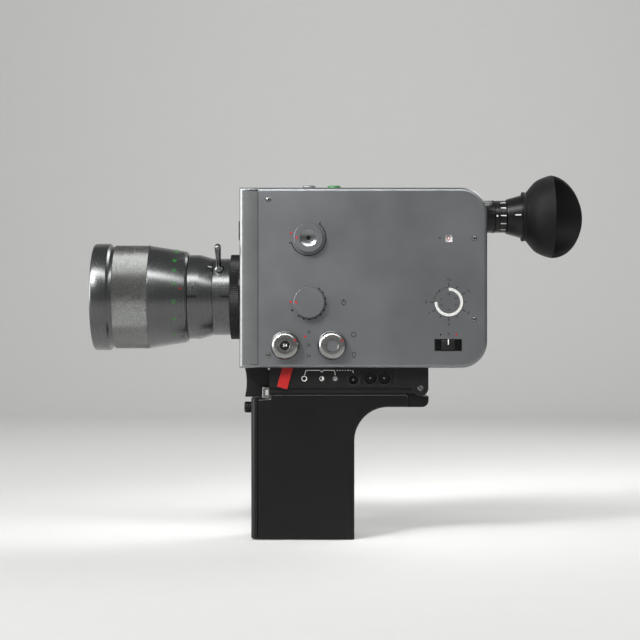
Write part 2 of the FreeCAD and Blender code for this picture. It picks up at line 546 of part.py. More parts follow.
def build_finder():
    """The reflex finder: prism, tube and the eyepiece with its cup."""
    prism_block = box("FinderPrism", (ZONE_FRONT, f"{ZONE_FRONT} + prism_depth"),
                      ("-prism_half", "prism_half"),
                      (f"{LENS_Z} - prism_foot", f"{FINDER_Z} + prism_half"))
    finish(prism_block, "finder_prism")
    finish(rod("FinderTube", "X", "finder_radius", f"{ZONE_FRONT} + prism_depth", BODY_REAR,
               ("0", FINDER_Z)),
           "finder_tube")
    start = f"{BODY_REAR} - rear_round / 2"
    tube = [(start, "eye_bore"), (start, "eye_tube_radius"), (EYE_STEP, "eye_tube_radius"),
            (EYE_STEP, "eye_core"), (CONE_END, "eye_core"), (CONE_END, "eye_bore")]
    seat = side_slab("EyeTubeSeat", CAP_REAR, "0", f"-{FRAME_HALF}", FRAME_HALF)
    finish(cut("EyeTubeDone", turned("EyeTube", "X", tube, ("0", FINDER_Z)), seat), "eyepiece_tube")
    ring = [(f"{EYE_STEP} + ring_gap / 2", "eye_core + fit"),
            (f"{EYE_STEP} + ring_gap / 2", "eye_tube_radius"),
            (f"{EYE_STEP} + diopter_length", "eye_tube_radius"),
            (f"{EYE_STEP} + diopter_length", "eye_core + fit")]
    finish(turned("DiopterRing", "X", ring, ("0", FINDER_Z)), "diopter_ring")
    cone = [(CONE_START, "eye_core"), (CONE_START, "eye_cone_small"), (CONE_END, "eye_cone_large"),
            (BEAD_END, "eye_cone_large"), (BEAD_END, "eye_glass"), (CONE_END, "eye_glass"),
            (CONE_END, "eye_core")]
    finish(turned("EyeCone", "X", cone, ("0", FINDER_Z)), "eyepiece_cone")
    glass = [(CONE_END, "0"), (CONE_END, "eye_glass"), (f"{CONE_END} + eye_glass_thick", "eye_glass"),
             (f"{CONE_END} + eye_glass_thick", "0")]
    finish(turned("EyeGlass", "X", glass, ("0", FINDER_Z)), "eyepiece_lens")
    neck = f"{BEAD_END} - cup_neck"
    waist = f"{BEAD_END} + cup_waist_at"
    shoulder = f"{BEAD_END} + cup_shoulder_at"
    tip = f"{CUP_RIM} + cup_flap"
    inner = "eye_cone_large + fit"
    bell = [(neck, inner), (neck, f"{inner} + cup_wall"), (waist, "cup_waist"), (shoulder, "cup_shoulder"),
            (CUP_RIM, "cup_mouth"), (tip, "cup_mouth"), (tip, "cup_mouth - cup_wall"),
            (CUP_RIM, "cup_mouth - cup_wall"), (shoulder, "cup_shoulder - cup_wall"),
            (waist, "cup_waist - cup_wall"), (f"{BEAD_END} + cup_wall", inner)]
    wedge = prism("CupTrim", "Z", [(CUP_RIM, "-2 * cup_mouth"),
                                   (f"{CUP_RIM} + 2 * cup_flap", "-2 * cup_mouth"),
                                   (f"{CUP_RIM} + 2 * cup_flap", "2 * cup_mouth"), (CUP_RIM, "0")],
                  f"{FINDER_Z} - 2 * cup_mouth", f"{FINDER_Z} + 2 * cup_mouth")
    finish(cut("EyeCup", turned("EyeCupBell", "X", bell, ("0", FINDER_Z)), wedge), "eyecup")


def dome_knob(name, part, bore, depth):
    """A turned knob with a domed rim around a central bore."""
    face = f"{KNOB_BACK} - dome_proud"
    outline = [("0", KNOB_INNER), ("knob_shaft", KNOB_INNER), ("knob_shaft", KNOB_BACK),
               (f"{part}_radius", KNOB_BACK),
               (f"{part}_radius", f"{KNOB_BACK} - dome_rim"), ("dome_flat", face), (bore, face),
               (bore, f"{face} + {depth}"), ("0", f"{face} + {depth}")]
    return turned(name, "Y", outline, knob_spot(part))


def build_knobs():
    """The four knobs on the control cover and the button in the speed knob."""
    face = f"{KNOB_BACK} - aperture_proud"
    aperture = [("0", KNOB_INNER), ("knob_shaft", KNOB_INNER), ("knob_shaft", KNOB_BACK),
                ("aperture_radius", KNOB_BACK), ("aperture_radius", f"{face} + knob_chamfer"),
                ("aperture_radius - knob_chamfer", face), ("aperture_dish", face),
                ("aperture_eye", f"{face} + aperture_dish_depth"),
                ("aperture_eye", f"{face} + 2 * aperture_dish_depth"),
                ("0", f"{face} + 2 * aperture_dish_depth")]
    finish(turned("ApertureKnob", "Y", aperture, knob_spot("aperture")), "aperture_knob")
    face = f"{KNOB_BACK} - timer_proud"
    timer = [("0", KNOB_INNER), ("knob_shaft", KNOB_INNER), ("knob_shaft", KNOB_BACK),
             ("timer_radius", KNOB_BACK),
             ("timer_radius", f"{face} + knob_chamfer"), ("timer_radius - knob_chamfer", face), ("0", face)]
    finish(turned("TimerKnob", "Y", timer, knob_spot("timer")), "timer_knob")
    finish(dome_knob("SpeedKnob", "speed", "slow_button + fit", "slow_button_depth"), "speed_knob")
    finish(dome_knob("FilterKnob", "filter", "filter_disc", "filter_disc_depth"), "filter_knob")
    face = f"{KNOB_BACK} - dome_proud"
    button = rod("SlowButton", "Y", "slow_button", f"{face} + knob_gap",
                 f"{face} + slow_button_depth - slow_button_travel - knob_gap", knob_spot("speed"))
    finish(button, "slow_motion_button")


def build_dials():
    """The film counter behind its window, the film gauge and the slide switch."""
    x, z = knob_spot("counter")
    half = "counter_window / 2"
    pane = box("CounterPane", (f"{x} - {half}", f"{x} + {half}"),
               (f"-{SKIN_IN} - glass_sheet", f"-{SKIN_IN}"),
               (f"{z} - {half}", f"{z} + {half}"))
    finish(pane, "counter_window")
    front, hub = f"-{SKIN_IN} + ring_gap", f"({x} - counter_offset)"
    disc = [("0", front), ("counter_radius", front), ("counter_radius", f"{front} + counter_thick"),
            ("shutter_shaft", f"{front} + counter_thick"), ("shutter_shaft", "-partition_y - ring_gap"),
            ("0", "-partition_y - ring_gap")]
    finish(turned("CounterDisc", "Y", disc, (hub, z)), "counter_disc")
    front = "(-body_half + knob_gap)"
    dial = [("0", front), ("gauge_radius", front), ("gauge_radius", f"{front} + gauge_thick"),
            ("shutter_shaft", f"{front} + gauge_thick"), ("shutter_shaft", "-partition_y - ring_gap"),
            ("0", "-partition_y - ring_gap")]
    finish(turned("GaugeDial", "Y", dial, knob_spot("gauge")), "gauge_dial")
    x, z = knob_spot("switch")
    well = box("SwitchWell", (f"{x} - switch_length / 2", f"{x} + switch_length / 2"),
               ("-body_half", "-body_half + switch_depth"),
               (f"{z} - switch_height / 2", f"{z} + switch_height / 2"))
    inner = "(switch_length / 2 - switch_rim)"
    tall = "(switch_height / 2 - switch_rim)"
    room = box("SwitchRoom", (f"{x} - {inner}", f"{x} + {inner}"), ("-body_half - cut_over",
               "-body_half + switch_depth - switch_floor"), (f"{z} - {tall}", f"{z} + {tall}"))
    finish(cut("SwitchPlate", well, room), "switch_plate")
    slider = box("Slider", (f"{x} - slider_length / 2", f"{x} + slider_length / 2"),
                 ("-body_half - slider_proud", "-body_half + switch_depth - switch_floor - fit"),
                 (f"{z} - {tall} + 2 * fit", f"{z} + {tall} - 2 * fit"))
    finish(slider, "slide_switch")
    for index, label in enumerate(["zoom_button_wide", "zoom_button_tele"]):
        under = f"{BODY_TOP} - frame_wall - knob_gap"
        foot = f"{under} - button_flange_thick - button_travel - button_seat"
        outline = [("0", foot), ("knob_shaft", foot),
                   ("knob_shaft", f"{under} - button_flange_thick"),
                   ("button_flange", f"{under} - button_flange_thick"), ("button_flange", under),
                   ("button_radius", under), ("button_radius", f"{BODY_TOP} + button_proud - knob_chamfer"),
                   ("button_radius - knob_chamfer", f"{BODY_TOP} + button_proud"),
                   ("0", f"{BODY_TOP} + button_proud")]
        finish(turned(f"ZoomButton{index}", "Z", outline, (BUTTONS[index], "0")), label)


def build_drive():
    """The motor, its pinion, the shutter, the film gate, the take-up spindle and the board."""
    spot = ("shutter_y", MOTOR_Z)
    start = f"{GEAR_X} + gear_width + 2 * ring_gap"
    can = rod("MotorCan", "X", "motor_radius", start, f"{start} + motor_length", spot)
    foot = box("MotorFoot", (start, f"{start} + motor_foot"),
               ("shutter_y - motor_radius", "shutter_y + motor_radius"),
               (f"{BODY_BOTTOM} + frame_wall", MOTOR_Z))
    bore = rod("MotorBore", "X", "shutter_shaft + fit", f"{start} - cut_over", f"{start} + motor_foot",
               spot)
    finish(cut("DriveMotor", fuse("MotorBody", can, foot), bore), "drive_motor")
    end = f"{GEAR_X} + gear_width"
    pinion = [(GEAR_X, "0"), (GEAR_X, "pinion_radius"), (end, "pinion_radius"), (end, "shutter_shaft"),
              (f"{start} + motor_foot - ring_gap", "shutter_shaft"),
              (f"{start} + motor_foot - ring_gap", "0")]
    finish(turned("MotorPinion", "X", pinion, spot), "motor_pinion")
    spot = ("shutter_y", SHUTTER_Z)
    gear = [(f"{CAP_REAR} + bulkhead / 2", "0"), (f"{CAP_REAR} + bulkhead / 2", "shutter_shaft"),
            (GEAR_X, "shutter_shaft"), (GEAR_X, "shutter_gear"), (end, "shutter_gear"),
            (end, "shutter_shaft"),
            (f"{ZONE_REAR} + gate_thick", "shutter_shaft"), (f"{ZONE_REAR} + gate_thick", "0")]
    gear_body = turned("ShutterGear", "X", gear, spot)
    blade_rear = f"{ZONE_REAR} - 2 * gate_thick"
    bush = "shutter_shaft"
    finish(gear_body, "shutter_gear")
    blade = [(f"{blade_rear} - shutter_thick", bush), (f"{blade_rear} - shutter_thick", "shutter_radius"),
             (blade_rear, "shutter_radius"), (blade_rear, bush)]
    disc = turned("ShutterBlade", "X", blade, spot)
    sector = box("ShutterSector", (f"{blade_rear} - 2 * shutter_thick", f"{blade_rear} + shutter_thick"),
                 ("shutter_y", "shutter_y + 2 * shutter_radius"), (f"{SHUTTER_Z} + 3 * shutter_shaft",
                                                                     f"{SHUTTER_Z} + 2 * shutter_radius"))
    finish(cut("ShutterDisc", disc, sector), "shutter_disc")
    gate = box("GatePlate", (ZONE_REAR, f"{ZONE_REAR} + gate_thick"),
               (PARTITION_BACK, f"{PARTITION_BACK} + gate_reach"),
               (f"{LENS_Z} - gate_half", f"{LENS_Z} + gate_half"))
    window = box("GateWindow", (f"{ZONE_REAR} - cut_over", f"{ZONE_REAR} + gate_thick + cut_over"),
                 ("-gate_window_width / 2", "gate_window_width / 2"),
                 (f"{LENS_Z} - gate_window_height / 2", f"{LENS_Z} + gate_window_height / 2"))
    bearing = rod("GateBearing", "X", "shutter_shaft + fit", f"{ZONE_REAR} - cut_over",
                  f"{ZONE_REAR} + gate_thick + cut_over", spot)
    finish(cut("FilmGate", gate, window, bearing), "film_gate")
    outline = [("0", "-partition_y - ring_gap - pulley_width"),
               ("pulley_radius", "-partition_y - ring_gap - pulley_width"),
               ("pulley_radius", "-partition_y - ring_gap"), ("spindle_shaft", "-partition_y - ring_gap"),
               ("spindle_shaft", f"{PARTITION_BACK} + ring_gap"),
               ("spindle_radius", f"{PARTITION_BACK} + ring_gap"),
               ("spindle_radius", f"{PARTITION_BACK} + spindle_height"),
               ("0", f"{PARTITION_BACK} + spindle_height")]
    finish(turned("TakeUpSpindle", "Y", outline, (f"({BODY_FRONT} + spindle_x)", LENS_Z)), "takeup_spindle")
    board = box("Board", (f"{BODY_FRONT} + board_start", f"{BODY_REAR} - board_back"),
                ("-partition_y - board_thick", "-partition_y"),
                (f"{BODY_BOTTOM} + board_low", f"{BODY_BOTTOM} + board_low + board_height"))
    clear = rod("BoardClear", "Y", "2 * shutter_shaft", "-partition_y - 2 * board_thick",
                "-partition_y + cut_over",
                knob_spot("gauge"))
    finish(cut("ControlBoard", board, clear), "control_board")


def build_film_door():
    """The film door on the far side, with its bead, window, latch and hinge pin."""
    inner = f"{FRAME_HALF} + door_gap"
    tray = side_slab("DoorBlank", DOOR_AXIS_X, "0", inner, "body_half")
    rim_edges(tray, 0, number(DOOR_AXIS_X))
    hollow = side_slab("DoorHollow", f"{DOOR_AXIS_X} + door_bead", "shell_wall", f"{inner} - cut_over",
                       SKIN_IN)
    bead = rod("DoorBead", "Z", "door_bead", BODY_BOTTOM, BODY_TOP, (DOOR_AXIS_X, DOOR_AXIS_Y))
    notches = [box(f"DoorNotch{index}",
                   (f"{DOOR_AXIS_X} - 2 * door_bead", f"{DOOR_AXIS_X} + door_bead + knob_gap"),
                   (f"{FRAME_HALF} - cut_over", "body_half + cut_over"), span)
               for index, span in enumerate([(f"{BODY_BOTTOM} - cut_over",
                                              f"{BODY_BOTTOM} + door_lug + knob_gap"),
                                             (f"{BODY_TOP} - door_lug - knob_gap",
                                              f"{BODY_TOP} + cut_over")])]
    pin_hole = rod("DoorPinBore", "Z", "door_pin + fit", f"{BODY_BOTTOM} - cut_over",
                   f"{BODY_TOP} + cut_over",
                   (DOOR_AXIS_X, DOOR_AXIS_Y))
    x, z = f"({BODY_FRONT} + door_window_x)", f"({BODY_BOTTOM} + door_window_rise)"
    sides = ((f"{x} - door_window_length / 2", f"{x} + door_window_length / 2"),
             (f"{z} - door_window_height / 2", f"{z} + door_window_height / 2"))
    opening = box("DoorOpening", sides[0], (inner, "body_half + cut_over"), sides[1])
    latch_spot = (f"({BODY_REAR} - latch_x)", f"({BODY_BOTTOM} + latch_rise)")
    latch_hole = rod("LatchHole", "Y", "latch_shaft + fit", inner, "body_half + cut_over", latch_spot)
    solid = cut("DoorTray", tray, hollow)
    finish(cut("DoorDone", fuse("DoorSolid", solid, bead), *notches, pin_hole, opening, latch_hole),
           "film_door")
    finish(box("DoorPane", sides[0], (SKIN_IN, f"{SKIN_IN} + door_window_thick"), sides[1]), "door_window")
    finish(rod("DoorPin", "Z", "door_pin", f"{BODY_BOTTOM} + door_lug / 2", f"{BODY_TOP} - door_lug / 2",
               (DOOR_AXIS_X, DOOR_AXIS_Y)), "door_hinge_pin")
    out = "(body_half + knob_gap)"
    latch = [("0", f"{SKIN_IN} - 2 * knob_gap - latch_proud"),
             ("knob_shaft * 2", f"{SKIN_IN} - 2 * knob_gap - latch_proud"),
             ("knob_shaft * 2", f"{SKIN_IN} - knob_gap"), ("latch_shaft", f"{SKIN_IN} - knob_gap"),
             ("latch_shaft", out), ("latch_radius", out), ("latch_radius", f"{out} + latch_proud"),
             ("0", f"{out} + latch_proud")]
    finish(turned("DoorLatch", "Y", latch, latch_spot), "door_latch")


def build_rail():
    """The base rail under the body with its sockets, strap lug and the grip's hinge."""
    block = box("RailBlock", (RAIL_FRONT, RAIL_REAR), ("-rail_half", "rail_half"),
                ("grip_height + rail_band", BODY_BOTTOM))
    band = box("RailBand", (RAIL_FRONT, f"{RAIL_REAR} - hinge_boss"), ("-rail_half + rail_band_inset",
               "rail_half - rail_band_inset"), ("grip_height", "grip_height + 2 * rail_band"))
    boss = rod("RailBoss", "Y", "hinge_boss", "-rail_half", "rail_half", ("hinge_x", HINGE_Z))
    cheek = "(rail_half - hinge_cheek)"
    slot = box("RailSlot", ("hinge_x - knuckle_radius - hinge_gap", f"{RAIL_REAR} + cut_over"),
               (f"-{cheek}", cheek),
               ("grip_height - 2 * hinge_boss", f"{HINGE_Z} + knuckle_radius + hinge_gap"))
    roof = f"{BODY_BOTTOM} - rail_wall"
    floor = "grip_height + rail_wall"
    hollow = box("RailHollow", (f"{RAIL_FRONT} + rail_wall",
                                "hinge_x - knuckle_radius - hinge_gap - rail_wall"),
                 ("-rail_half + rail_wall + rail_band_inset",
                  "rail_half - rail_wall - rail_band_inset"), (floor, roof))
    mouth = box("RailMouth", (f"{RAIL_FRONT} - cut_over", f"{RAIL_FRONT} + rail_wall + cut_over"),
                ("-trigger_half - trigger_gap", "trigger_half + trigger_gap"),
                ("grip_height - cut_over", f"{BODY_BOTTOM} - trigger_gap / 2"))
    pin = rod("RailPinHole", "Y", "hinge_pin_radius", "-rail_half - cut_over", "rail_half + cut_over",
              ("hinge_x", HINGE_Z))
    z = "(grip_height + socket_rise)"
    remote = rod("RemoteHole", "Y", "socket_bore + socket_rim", "-rail_half - cut_over",
                 "-rail_half + 2 * rail_wall",
                 ("socket_x", z))
    twin = box("TwinHole", ("twin_start", "twin_end"),
               ("-rail_half - cut_over", "-rail_half + 2 * rail_wall"),
               ("grip_height + twin_low", "grip_height + twin_high"))
    tripod_boss = rod("TripodBoss", "Z", "tripod_boss", "grip_height", roof, ("tripod_x", "0"))
    tripod = rod("TripodHole", "Z", "tripod_radius", "grip_height - cut_over",
                 "grip_height + tripod_depth", ("tripod_x", "0"))
    shell = cut("RailShell", fuse("RailSolid", block, band, boss), slot, hollow, mouth, pin, remote, twin)
    finish(cut("RailDone", fuse("RailBossed", shell, tripod_boss), tripod), "base_rail")
    bore_end = "-rail_half + socket_depth"
    socket = [("socket_bore", "-rail_half"), ("socket_bore + socket_rim", "-rail_half"),
              ("socket_bore + socket_rim", bore_end), ("0", bore_end), ("0", f"{bore_end} - rail_wall"),
              ("socket_bore", f"{bore_end} - rail_wall")]
    finish(turned("RemoteSocket", "Y", socket, ("socket_x", z)), "remote_socket")
    plate = box("TwinPlate", ("twin_start", "twin_end"), ("-rail_half", bore_end),
                ("grip_height + twin_low", "grip_height + twin_high"))
    middle, height = "(twin_start + twin_end) / 2", "grip_height + (twin_low + twin_high) / 2"
    spots = [(f"{middle} - twin_pitch / 2", height), (f"{middle} + twin_pitch / 2", height)]
    wells = [rod(f"TwinWell{index}", "Y", "twin_bore", "-rail_half - cut_over",
                 "-rail_half + twin_recess", spot)
             for index, spot in enumerate(spots)]
    finish(cut("TwinSocket", plate, *wells), "twin_socket")
    pins = [rod("RemotePin", "Y", "contact_pin", "-rail_half + rail_wall", f"{bore_end} - rail_wall",
                ("socket_x", z))]
    for index, spot in enumerate(spots):
        pins.append(rod(f"TwinPin{index}", "Y", "contact_pin", "-rail_half + rail_wall / 2",
                        "-rail_half + twin_recess", spot))
    finish(group("SocketPins", *pins), "socket_pins")
    low, high = "grip_height - lug_low", "grip_height + lug_high"
    face = "(-lug_y - lug_half)"
    plate = box("LugPlate", ("-lug_front", RAIL_FRONT), (face, f"{face} + 2 * lug_half"), (low, high))
    eye = box("LugEye", ("-lug_front + lug_leg", f"{RAIL_FRONT} - lug_leg / 2"),
              (f"{face} - cut_over", f"{face} + 3 * lug_half"),
              (f"{low} + lug_leg", "grip_height + lug_high - lug_leg / 2"))
    finish(cut("StrapLug", plate, eye), "strap_lug")
    finish(rod("HingePin", "Y", "hinge_pin_radius", "-rail_half", "rail_half", ("hinge_x", HINGE_Z)),
           "grip_hinge_pin")


def build_trigger():
    """The release trigger with its hollow front and the stem that slides in the rail."""
    front = f"({RAIL_FRONT} - rail_start - trigger_reach)"
    low, high = "grip_height - trigger_low", f"{BODY_BOTTOM} - trigger_gap"
    back = f"{RAIL_FRONT} - trigger_travel - trigger_gap"
    step = "grip_height + rail_wall + trigger_gap"
    outline = [(front, low), (back, low), (back, step), (f"{RAIL_FRONT} + trigger_stem", step),
               (f"{RAIL_FRONT} + trigger_stem", f"{high} - rail_wall"), (f"{RAIL_FRONT} - rail_wall",
               f"{high} - rail_wall"), (f"{RAIL_FRONT} - rail_wall", high), (front, high),
               (f"{front} + trigger_hollow", f"({low} + {high}) / 2")]
    finish(prism("Trigger", "Y", outline, "-trigger_half", "trigger_half"), "trigger")


def build_fade_lever():
    """The red fade lever: an eye on the post, a long arm and the tab beside the rail."""
    front = f"{FADE_Y} - fade_thick"
    lean = Rotation(Vector(0, 1, 0), number("fade_tilt"))
    eye = rod("FadeEye", "Y", "fade_eye", front, FADE_Y, ("fade_pivot_x", FADE_Z))
    arm = document.addObject("Part::Box", "FadeArm")
    bind(arm, "Length", "2 * fade_half")
    bind(arm, "Width", "fade_thick")
    bind(arm, "Height", "fade_arm")
    corner = lean.multVec(Vector(-number("fade_half"), 0, -number("fade_arm")))
    arm.Placement.Rotation = lean
    place(arm, f"fade_pivot_x + {corner.x:.6f}", front, f"{FADE_Z} + {corner.z:.6f}")
    bore = rod("FadeBore", "Y", "fade_pin + fit", f"{front} - cut_over", f"{FADE_Y} + cut_over",
               ("fade_pivot_x", FADE_Z))
    finish(cut("FadeLever", fuse("FadeBlank", eye, arm), bore), "fade_lever")


def grip_outline(front, rear):
    """The side outline of the grip and its arm, from a front edge to the arm's end."""
    return [(front, "grip_foot"), ("grip_depth / 2", "grip_foot"), ("grip_depth / 2", ARM_BOTTOM),
            (rear, ARM_BOTTOM),
            (rear, GRIP_TOP), (RAIL_FRONT, GRIP_TOP), (RAIL_FRONT, GRIP_SHOULDER), (front, GRIP_SHOULDER)]


def grip_plate(name, rear, start, end):
    """A slab of the grip's side outline with the round under its arm."""
    slab = prism(name, "Y", grip_outline(STRIP_REAR, rear), start, end)
    x, z = number("grip_depth / 2"), number(ARM_BOTTOM)
    round_edges(slab, "arm_inner_round", lambda edge: runs_along(edge, "Y") and lies_at(edge, "X", x)
                and lies_at(edge, "Z", z))
    return slab


def build_grip():
    """The grip: frame with knuckle, two side covers, foot plate, front strip, cells and contacts."""
    frame = grip_plate("GripBlank", "arm_reach", f"-{GRIP_CORE}", GRIP_CORE)
    x, z = number("arm_reach"), number(ARM_BOTTOM)
    round_edges(frame, "arm_end_round", lambda edge: runs_along(edge, "Y") and lies_at(edge, "X", x)
                and lies_at(edge, "Z", z))
    cheek = "(rail_half - hinge_cheek)"
    clear = "(hinge_boss + hinge_gap)"
    recess = rod("GripRecess", "Y", clear, "-grip_half - cut_over", "grip_half + cut_over",
                 ("hinge_x", HINGE_Z))
    shelf = box("GripShelf", ("hinge_x", "arm_reach + cut_over"),
                ("-grip_half - cut_over", "grip_half + cut_over"),
                (f"{HINGE_Z} - {clear}", "grip_height + cut_over"))
    room = box("CellRoom", (f"{STRIP_REAR} - cut_over", "grip_depth / 2 - grip_wall"),
               (f"-{GRIP_CORE} + grip_wall",
               f"{GRIP_CORE} - grip_wall"), ("cell_floor", CELL_ROOF))
    foot = box("FootRecess", ("-plate_front", "plate_rear"), ("-plate_half", "plate_half"),
               ("-1", "plate_depth"))
    width = f"{cheek} - hinge_gap"
    knuckle = rod("Knuckle", "Y", "knuckle_radius", f"-({width})", width, ("hinge_x", HINGE_Z))
    neck = box("KnuckleNeck", ("hinge_x - knuckle_radius", "hinge_x"), (f"-({width})", width),
               (f"{HINGE_Z} - {clear} - cut_over", HINGE_Z))
    pin = rod("KnuckleBore", "Y", "hinge_pin_radius + fit", f"-({width}) - cut_over",
              f"{width} + cut_over", ("hinge_x", HINGE_Z))
    ears = []
    spot_x, spot_z = (f"{STRIP_PIN_X} - strip_pin_radius", STRIP_REAR), (
        "strip_pin_rise - strip_pin_radius", "strip_pin_rise + strip_pin_radius")
    for side, span in enumerate([("-strip_ear_inner - strip_ear", "-strip_ear_inner"),
                                 ("strip_ear_inner", "strip_ear_inner + strip_ear")]):
        ears.append(box(f"StripEar{side}", spot_x, span, spot_z))
    hinge = rod("StripPin", "Y", "strip_pin_radius", "-strip_ear_inner", "strip_ear_inner",
                (STRIP_PIN_X, "strip_pin_rise"))
    hollow = cut("GripHollow", frame, recess, shelf, room, foot)
    joined = fuse("GripJoined", hollow, knuckle, neck, *ears, hinge)
    finish(cut("GripDone", joined, pin), "grip_frame")
    for label, span, outer in (("grip_cover_right", ("-grip_half", f"-{GRIP_CORE}"), -number("grip_cover")),
                               ("grip_cover_left", (GRIP_CORE, "grip_half"), 0)):
        cover = grip_plate(f"{label}_blank", "grip_cover_end", *span)
        front = number(STRIP_REAR)
        round_edges(cover, "grip_edge_round",
                    lambda edge: lies_at(edge, "Y", outer) and not lies_at(edge, "X", front))
        finish(cover, label)
    finish(box("FootPlate", ("-plate_front", "plate_rear"), ("-plate_half", "plate_half"),
               ("0", "plate_depth")),
           "grip_foot_plate")
    build_strip()
    build_cells()


def build_strip():
    """The front strip that opens on the cells, and its lock knob."""
    rear = f"{STRIP_REAR} - door_strip_gap"
    low = "grip_foot + knob_gap"
    outline = [(GRIP_FRONT, f"{low} + strip_pin_radius"), (f"{GRIP_FRONT} + strip_pin_radius", low),
               (f"{rear} - strip_pin_radius", low), (rear, f"{low} + strip_pin_radius"),
               (rear, GRIP_SHOULDER),
               (GRIP_FRONT, GRIP_SHOULDER)]
    strip = prism("StripBlank", "Y", outline, "-door_strip_half", "door_strip_half")
    front = number(GRIP_FRONT)
    round_edges(strip, "door_strip_round", lambda edge: lies_at(edge, "X", front) and runs_along(edge, "Z"))
    room = "2 * knob_gap"
    cutouts = [box(f"StripEarRoom{side}",
                   (f"{STRIP_PIN_X} - strip_pin_radius - {room}", f"{STRIP_REAR} + cut_over"), span,
                   ("-1", f"strip_pin_rise + strip_pin_radius + {room}"))
               for side, span in enumerate([
                   (f"-strip_ear_inner - strip_ear - {room}", f"-strip_ear_inner + {room}"),
                   (f"strip_ear_inner - {room}", f"strip_ear_inner + strip_ear + {room}")])]
    bore = rod("StripBore", "Y", "strip_pin_radius + fit", "-strip_ear_inner", "strip_ear_inner",
               (STRIP_PIN_X, "strip_pin_rise"))
    z = f"({GRIP_SHOULDER} - lock_knob_drop)"
    shaft = rod("LockHole", "X", "knob_shaft + fit", f"{GRIP_FRONT} - cut_over", f"{rear} + cut_over",
                ("0", z))
    finish(cut("FrontStrip", strip, *cutouts, bore, shaft), "battery_door")
    head = f"{GRIP_FRONT} - lock_knob_length"
    face = f"{GRIP_FRONT} - knob_gap"
    outline = [(head, "0"), (head, "lock_knob_radius - knob_chamfer"),
               (f"{head} + knob_chamfer", "lock_knob_radius"),
               (face, "lock_knob_radius"), (face, "knob_shaft"), (f"{rear} - knob_gap", "knob_shaft"),
               (f"{rear} - knob_gap", "0")]
    finish(turned("LockKnob", "X", outline, ("0", z)), "battery_door_knob")


def build_cells():
    """Six round cells in two rows of three, with their contact plates and springs."""
    pitch = "(2 * cell_radius + cell_gap)"
    middle = f"(({STRIP_REAR} + grip_depth / 2 - grip_wall) / 2)"
    spots = [(f"{middle} + {step} * {pitch}", f"{side} * {pitch} / 2") for step in (-1, 0,
                                                                                    1) for side in (-1, 1)]
    cell_bodies = [rod(f"Cell{index}", "Z", "cell_radius", CELL_BASE, f"{CELL_BASE} + cell_length", spot)
                   for index, spot in enumerate(spots)]
    finish(group("Cells", *cell_bodies), "battery_cells")
    half = f"{GRIP_CORE} - grip_wall"
    side = (f"{STRIP_REAR} + grip_wall", "grip_depth / 2 - grip_wall")
    lower = box("LowerContacts", side, (f"-({half})", half), ("cell_floor", "cell_floor + contact_sheet"))
    upper = box("UpperContacts", side, (f"-({half})", half), (f"{CELL_ROOF} - contact_sheet", CELL_ROOF))
    springs = [rod(f"CellSpring{index}", "Z", "spring_radius", "cell_floor + contact_sheet", CELL_BASE,
                   spot)
               for index, spot in enumerate(spots)]
    finish(group("Contacts", fuse("LowerPlate", lower, *springs), upper), "battery_contacts")


def export_all():
    """Check every object and write each finished sub-part to a STEP file."""
    document.recompute()
    for thing in document.Objects:
        if "Invalid" in thing.State or "Error" in thing.State:
            raise RuntimeError(f"{thing.Name} is {thing.State}")
    os.makedirs("parts", exist_ok=True)
    for part in finished:
        if part.Shape.isNull() or not part.Shape.isValid():
            raise RuntimeError(f"{part.Label} has no valid shape")
        part.Shape.exportStep(f"parts/{part.Label}.step")
        print(part.Label, len(part.Shape.Solids), round(part.Shape.Volume, 1))


fill_sheet()
build_frame()
build_control_cover()
build_front_cap()
build_lens()
build_finder()
build_knobs()
build_dials()
build_drive()
build_film_door()
build_rail()
build_trigger()
build_fade_lever()
build_grip()
export_all()
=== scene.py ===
"""Dressed model of a cartridge film movie camera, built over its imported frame.

Places are in millimetres in the frame's own axes: +Z up, the lens points along -X and the
control side faces -Y. Every mesh is made in metres.
"""
import json
import logging
import math
from collections.abc import Callable, Iterable, Sequence
from dataclasses import dataclass, field, replace
from enum import Enum

import bmesh
import bpy
from mathutils import Matrix, Vector

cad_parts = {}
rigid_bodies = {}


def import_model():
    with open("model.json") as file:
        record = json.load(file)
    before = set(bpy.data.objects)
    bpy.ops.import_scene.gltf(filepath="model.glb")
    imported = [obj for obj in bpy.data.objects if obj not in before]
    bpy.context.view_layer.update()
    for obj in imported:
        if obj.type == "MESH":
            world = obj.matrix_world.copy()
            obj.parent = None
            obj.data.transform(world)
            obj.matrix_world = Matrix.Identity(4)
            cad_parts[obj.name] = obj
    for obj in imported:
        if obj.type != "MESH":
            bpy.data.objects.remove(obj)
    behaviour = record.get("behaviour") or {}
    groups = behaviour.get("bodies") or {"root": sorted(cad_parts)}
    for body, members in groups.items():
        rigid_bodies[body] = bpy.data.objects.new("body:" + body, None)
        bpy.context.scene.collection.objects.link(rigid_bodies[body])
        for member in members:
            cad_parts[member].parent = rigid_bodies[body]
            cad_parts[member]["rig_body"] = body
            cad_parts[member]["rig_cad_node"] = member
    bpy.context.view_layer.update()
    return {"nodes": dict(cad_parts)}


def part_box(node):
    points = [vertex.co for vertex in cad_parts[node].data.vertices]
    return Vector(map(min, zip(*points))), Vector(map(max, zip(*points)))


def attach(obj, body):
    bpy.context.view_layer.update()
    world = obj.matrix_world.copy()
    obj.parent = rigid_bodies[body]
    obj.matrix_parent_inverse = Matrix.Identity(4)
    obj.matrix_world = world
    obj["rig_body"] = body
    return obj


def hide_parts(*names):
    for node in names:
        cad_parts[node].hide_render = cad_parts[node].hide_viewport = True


LOG = logging.getLogger("movie_camera")
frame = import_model()

MM = 0.001
SMOOTH_ANGLE = math.radians(32)
CAPITAL_SHARE = 0.7  # of a font's size, the height of its capitals
Point = tuple[float, float, float]
Station = tuple[float, float]
Tone = tuple[int, int, int]


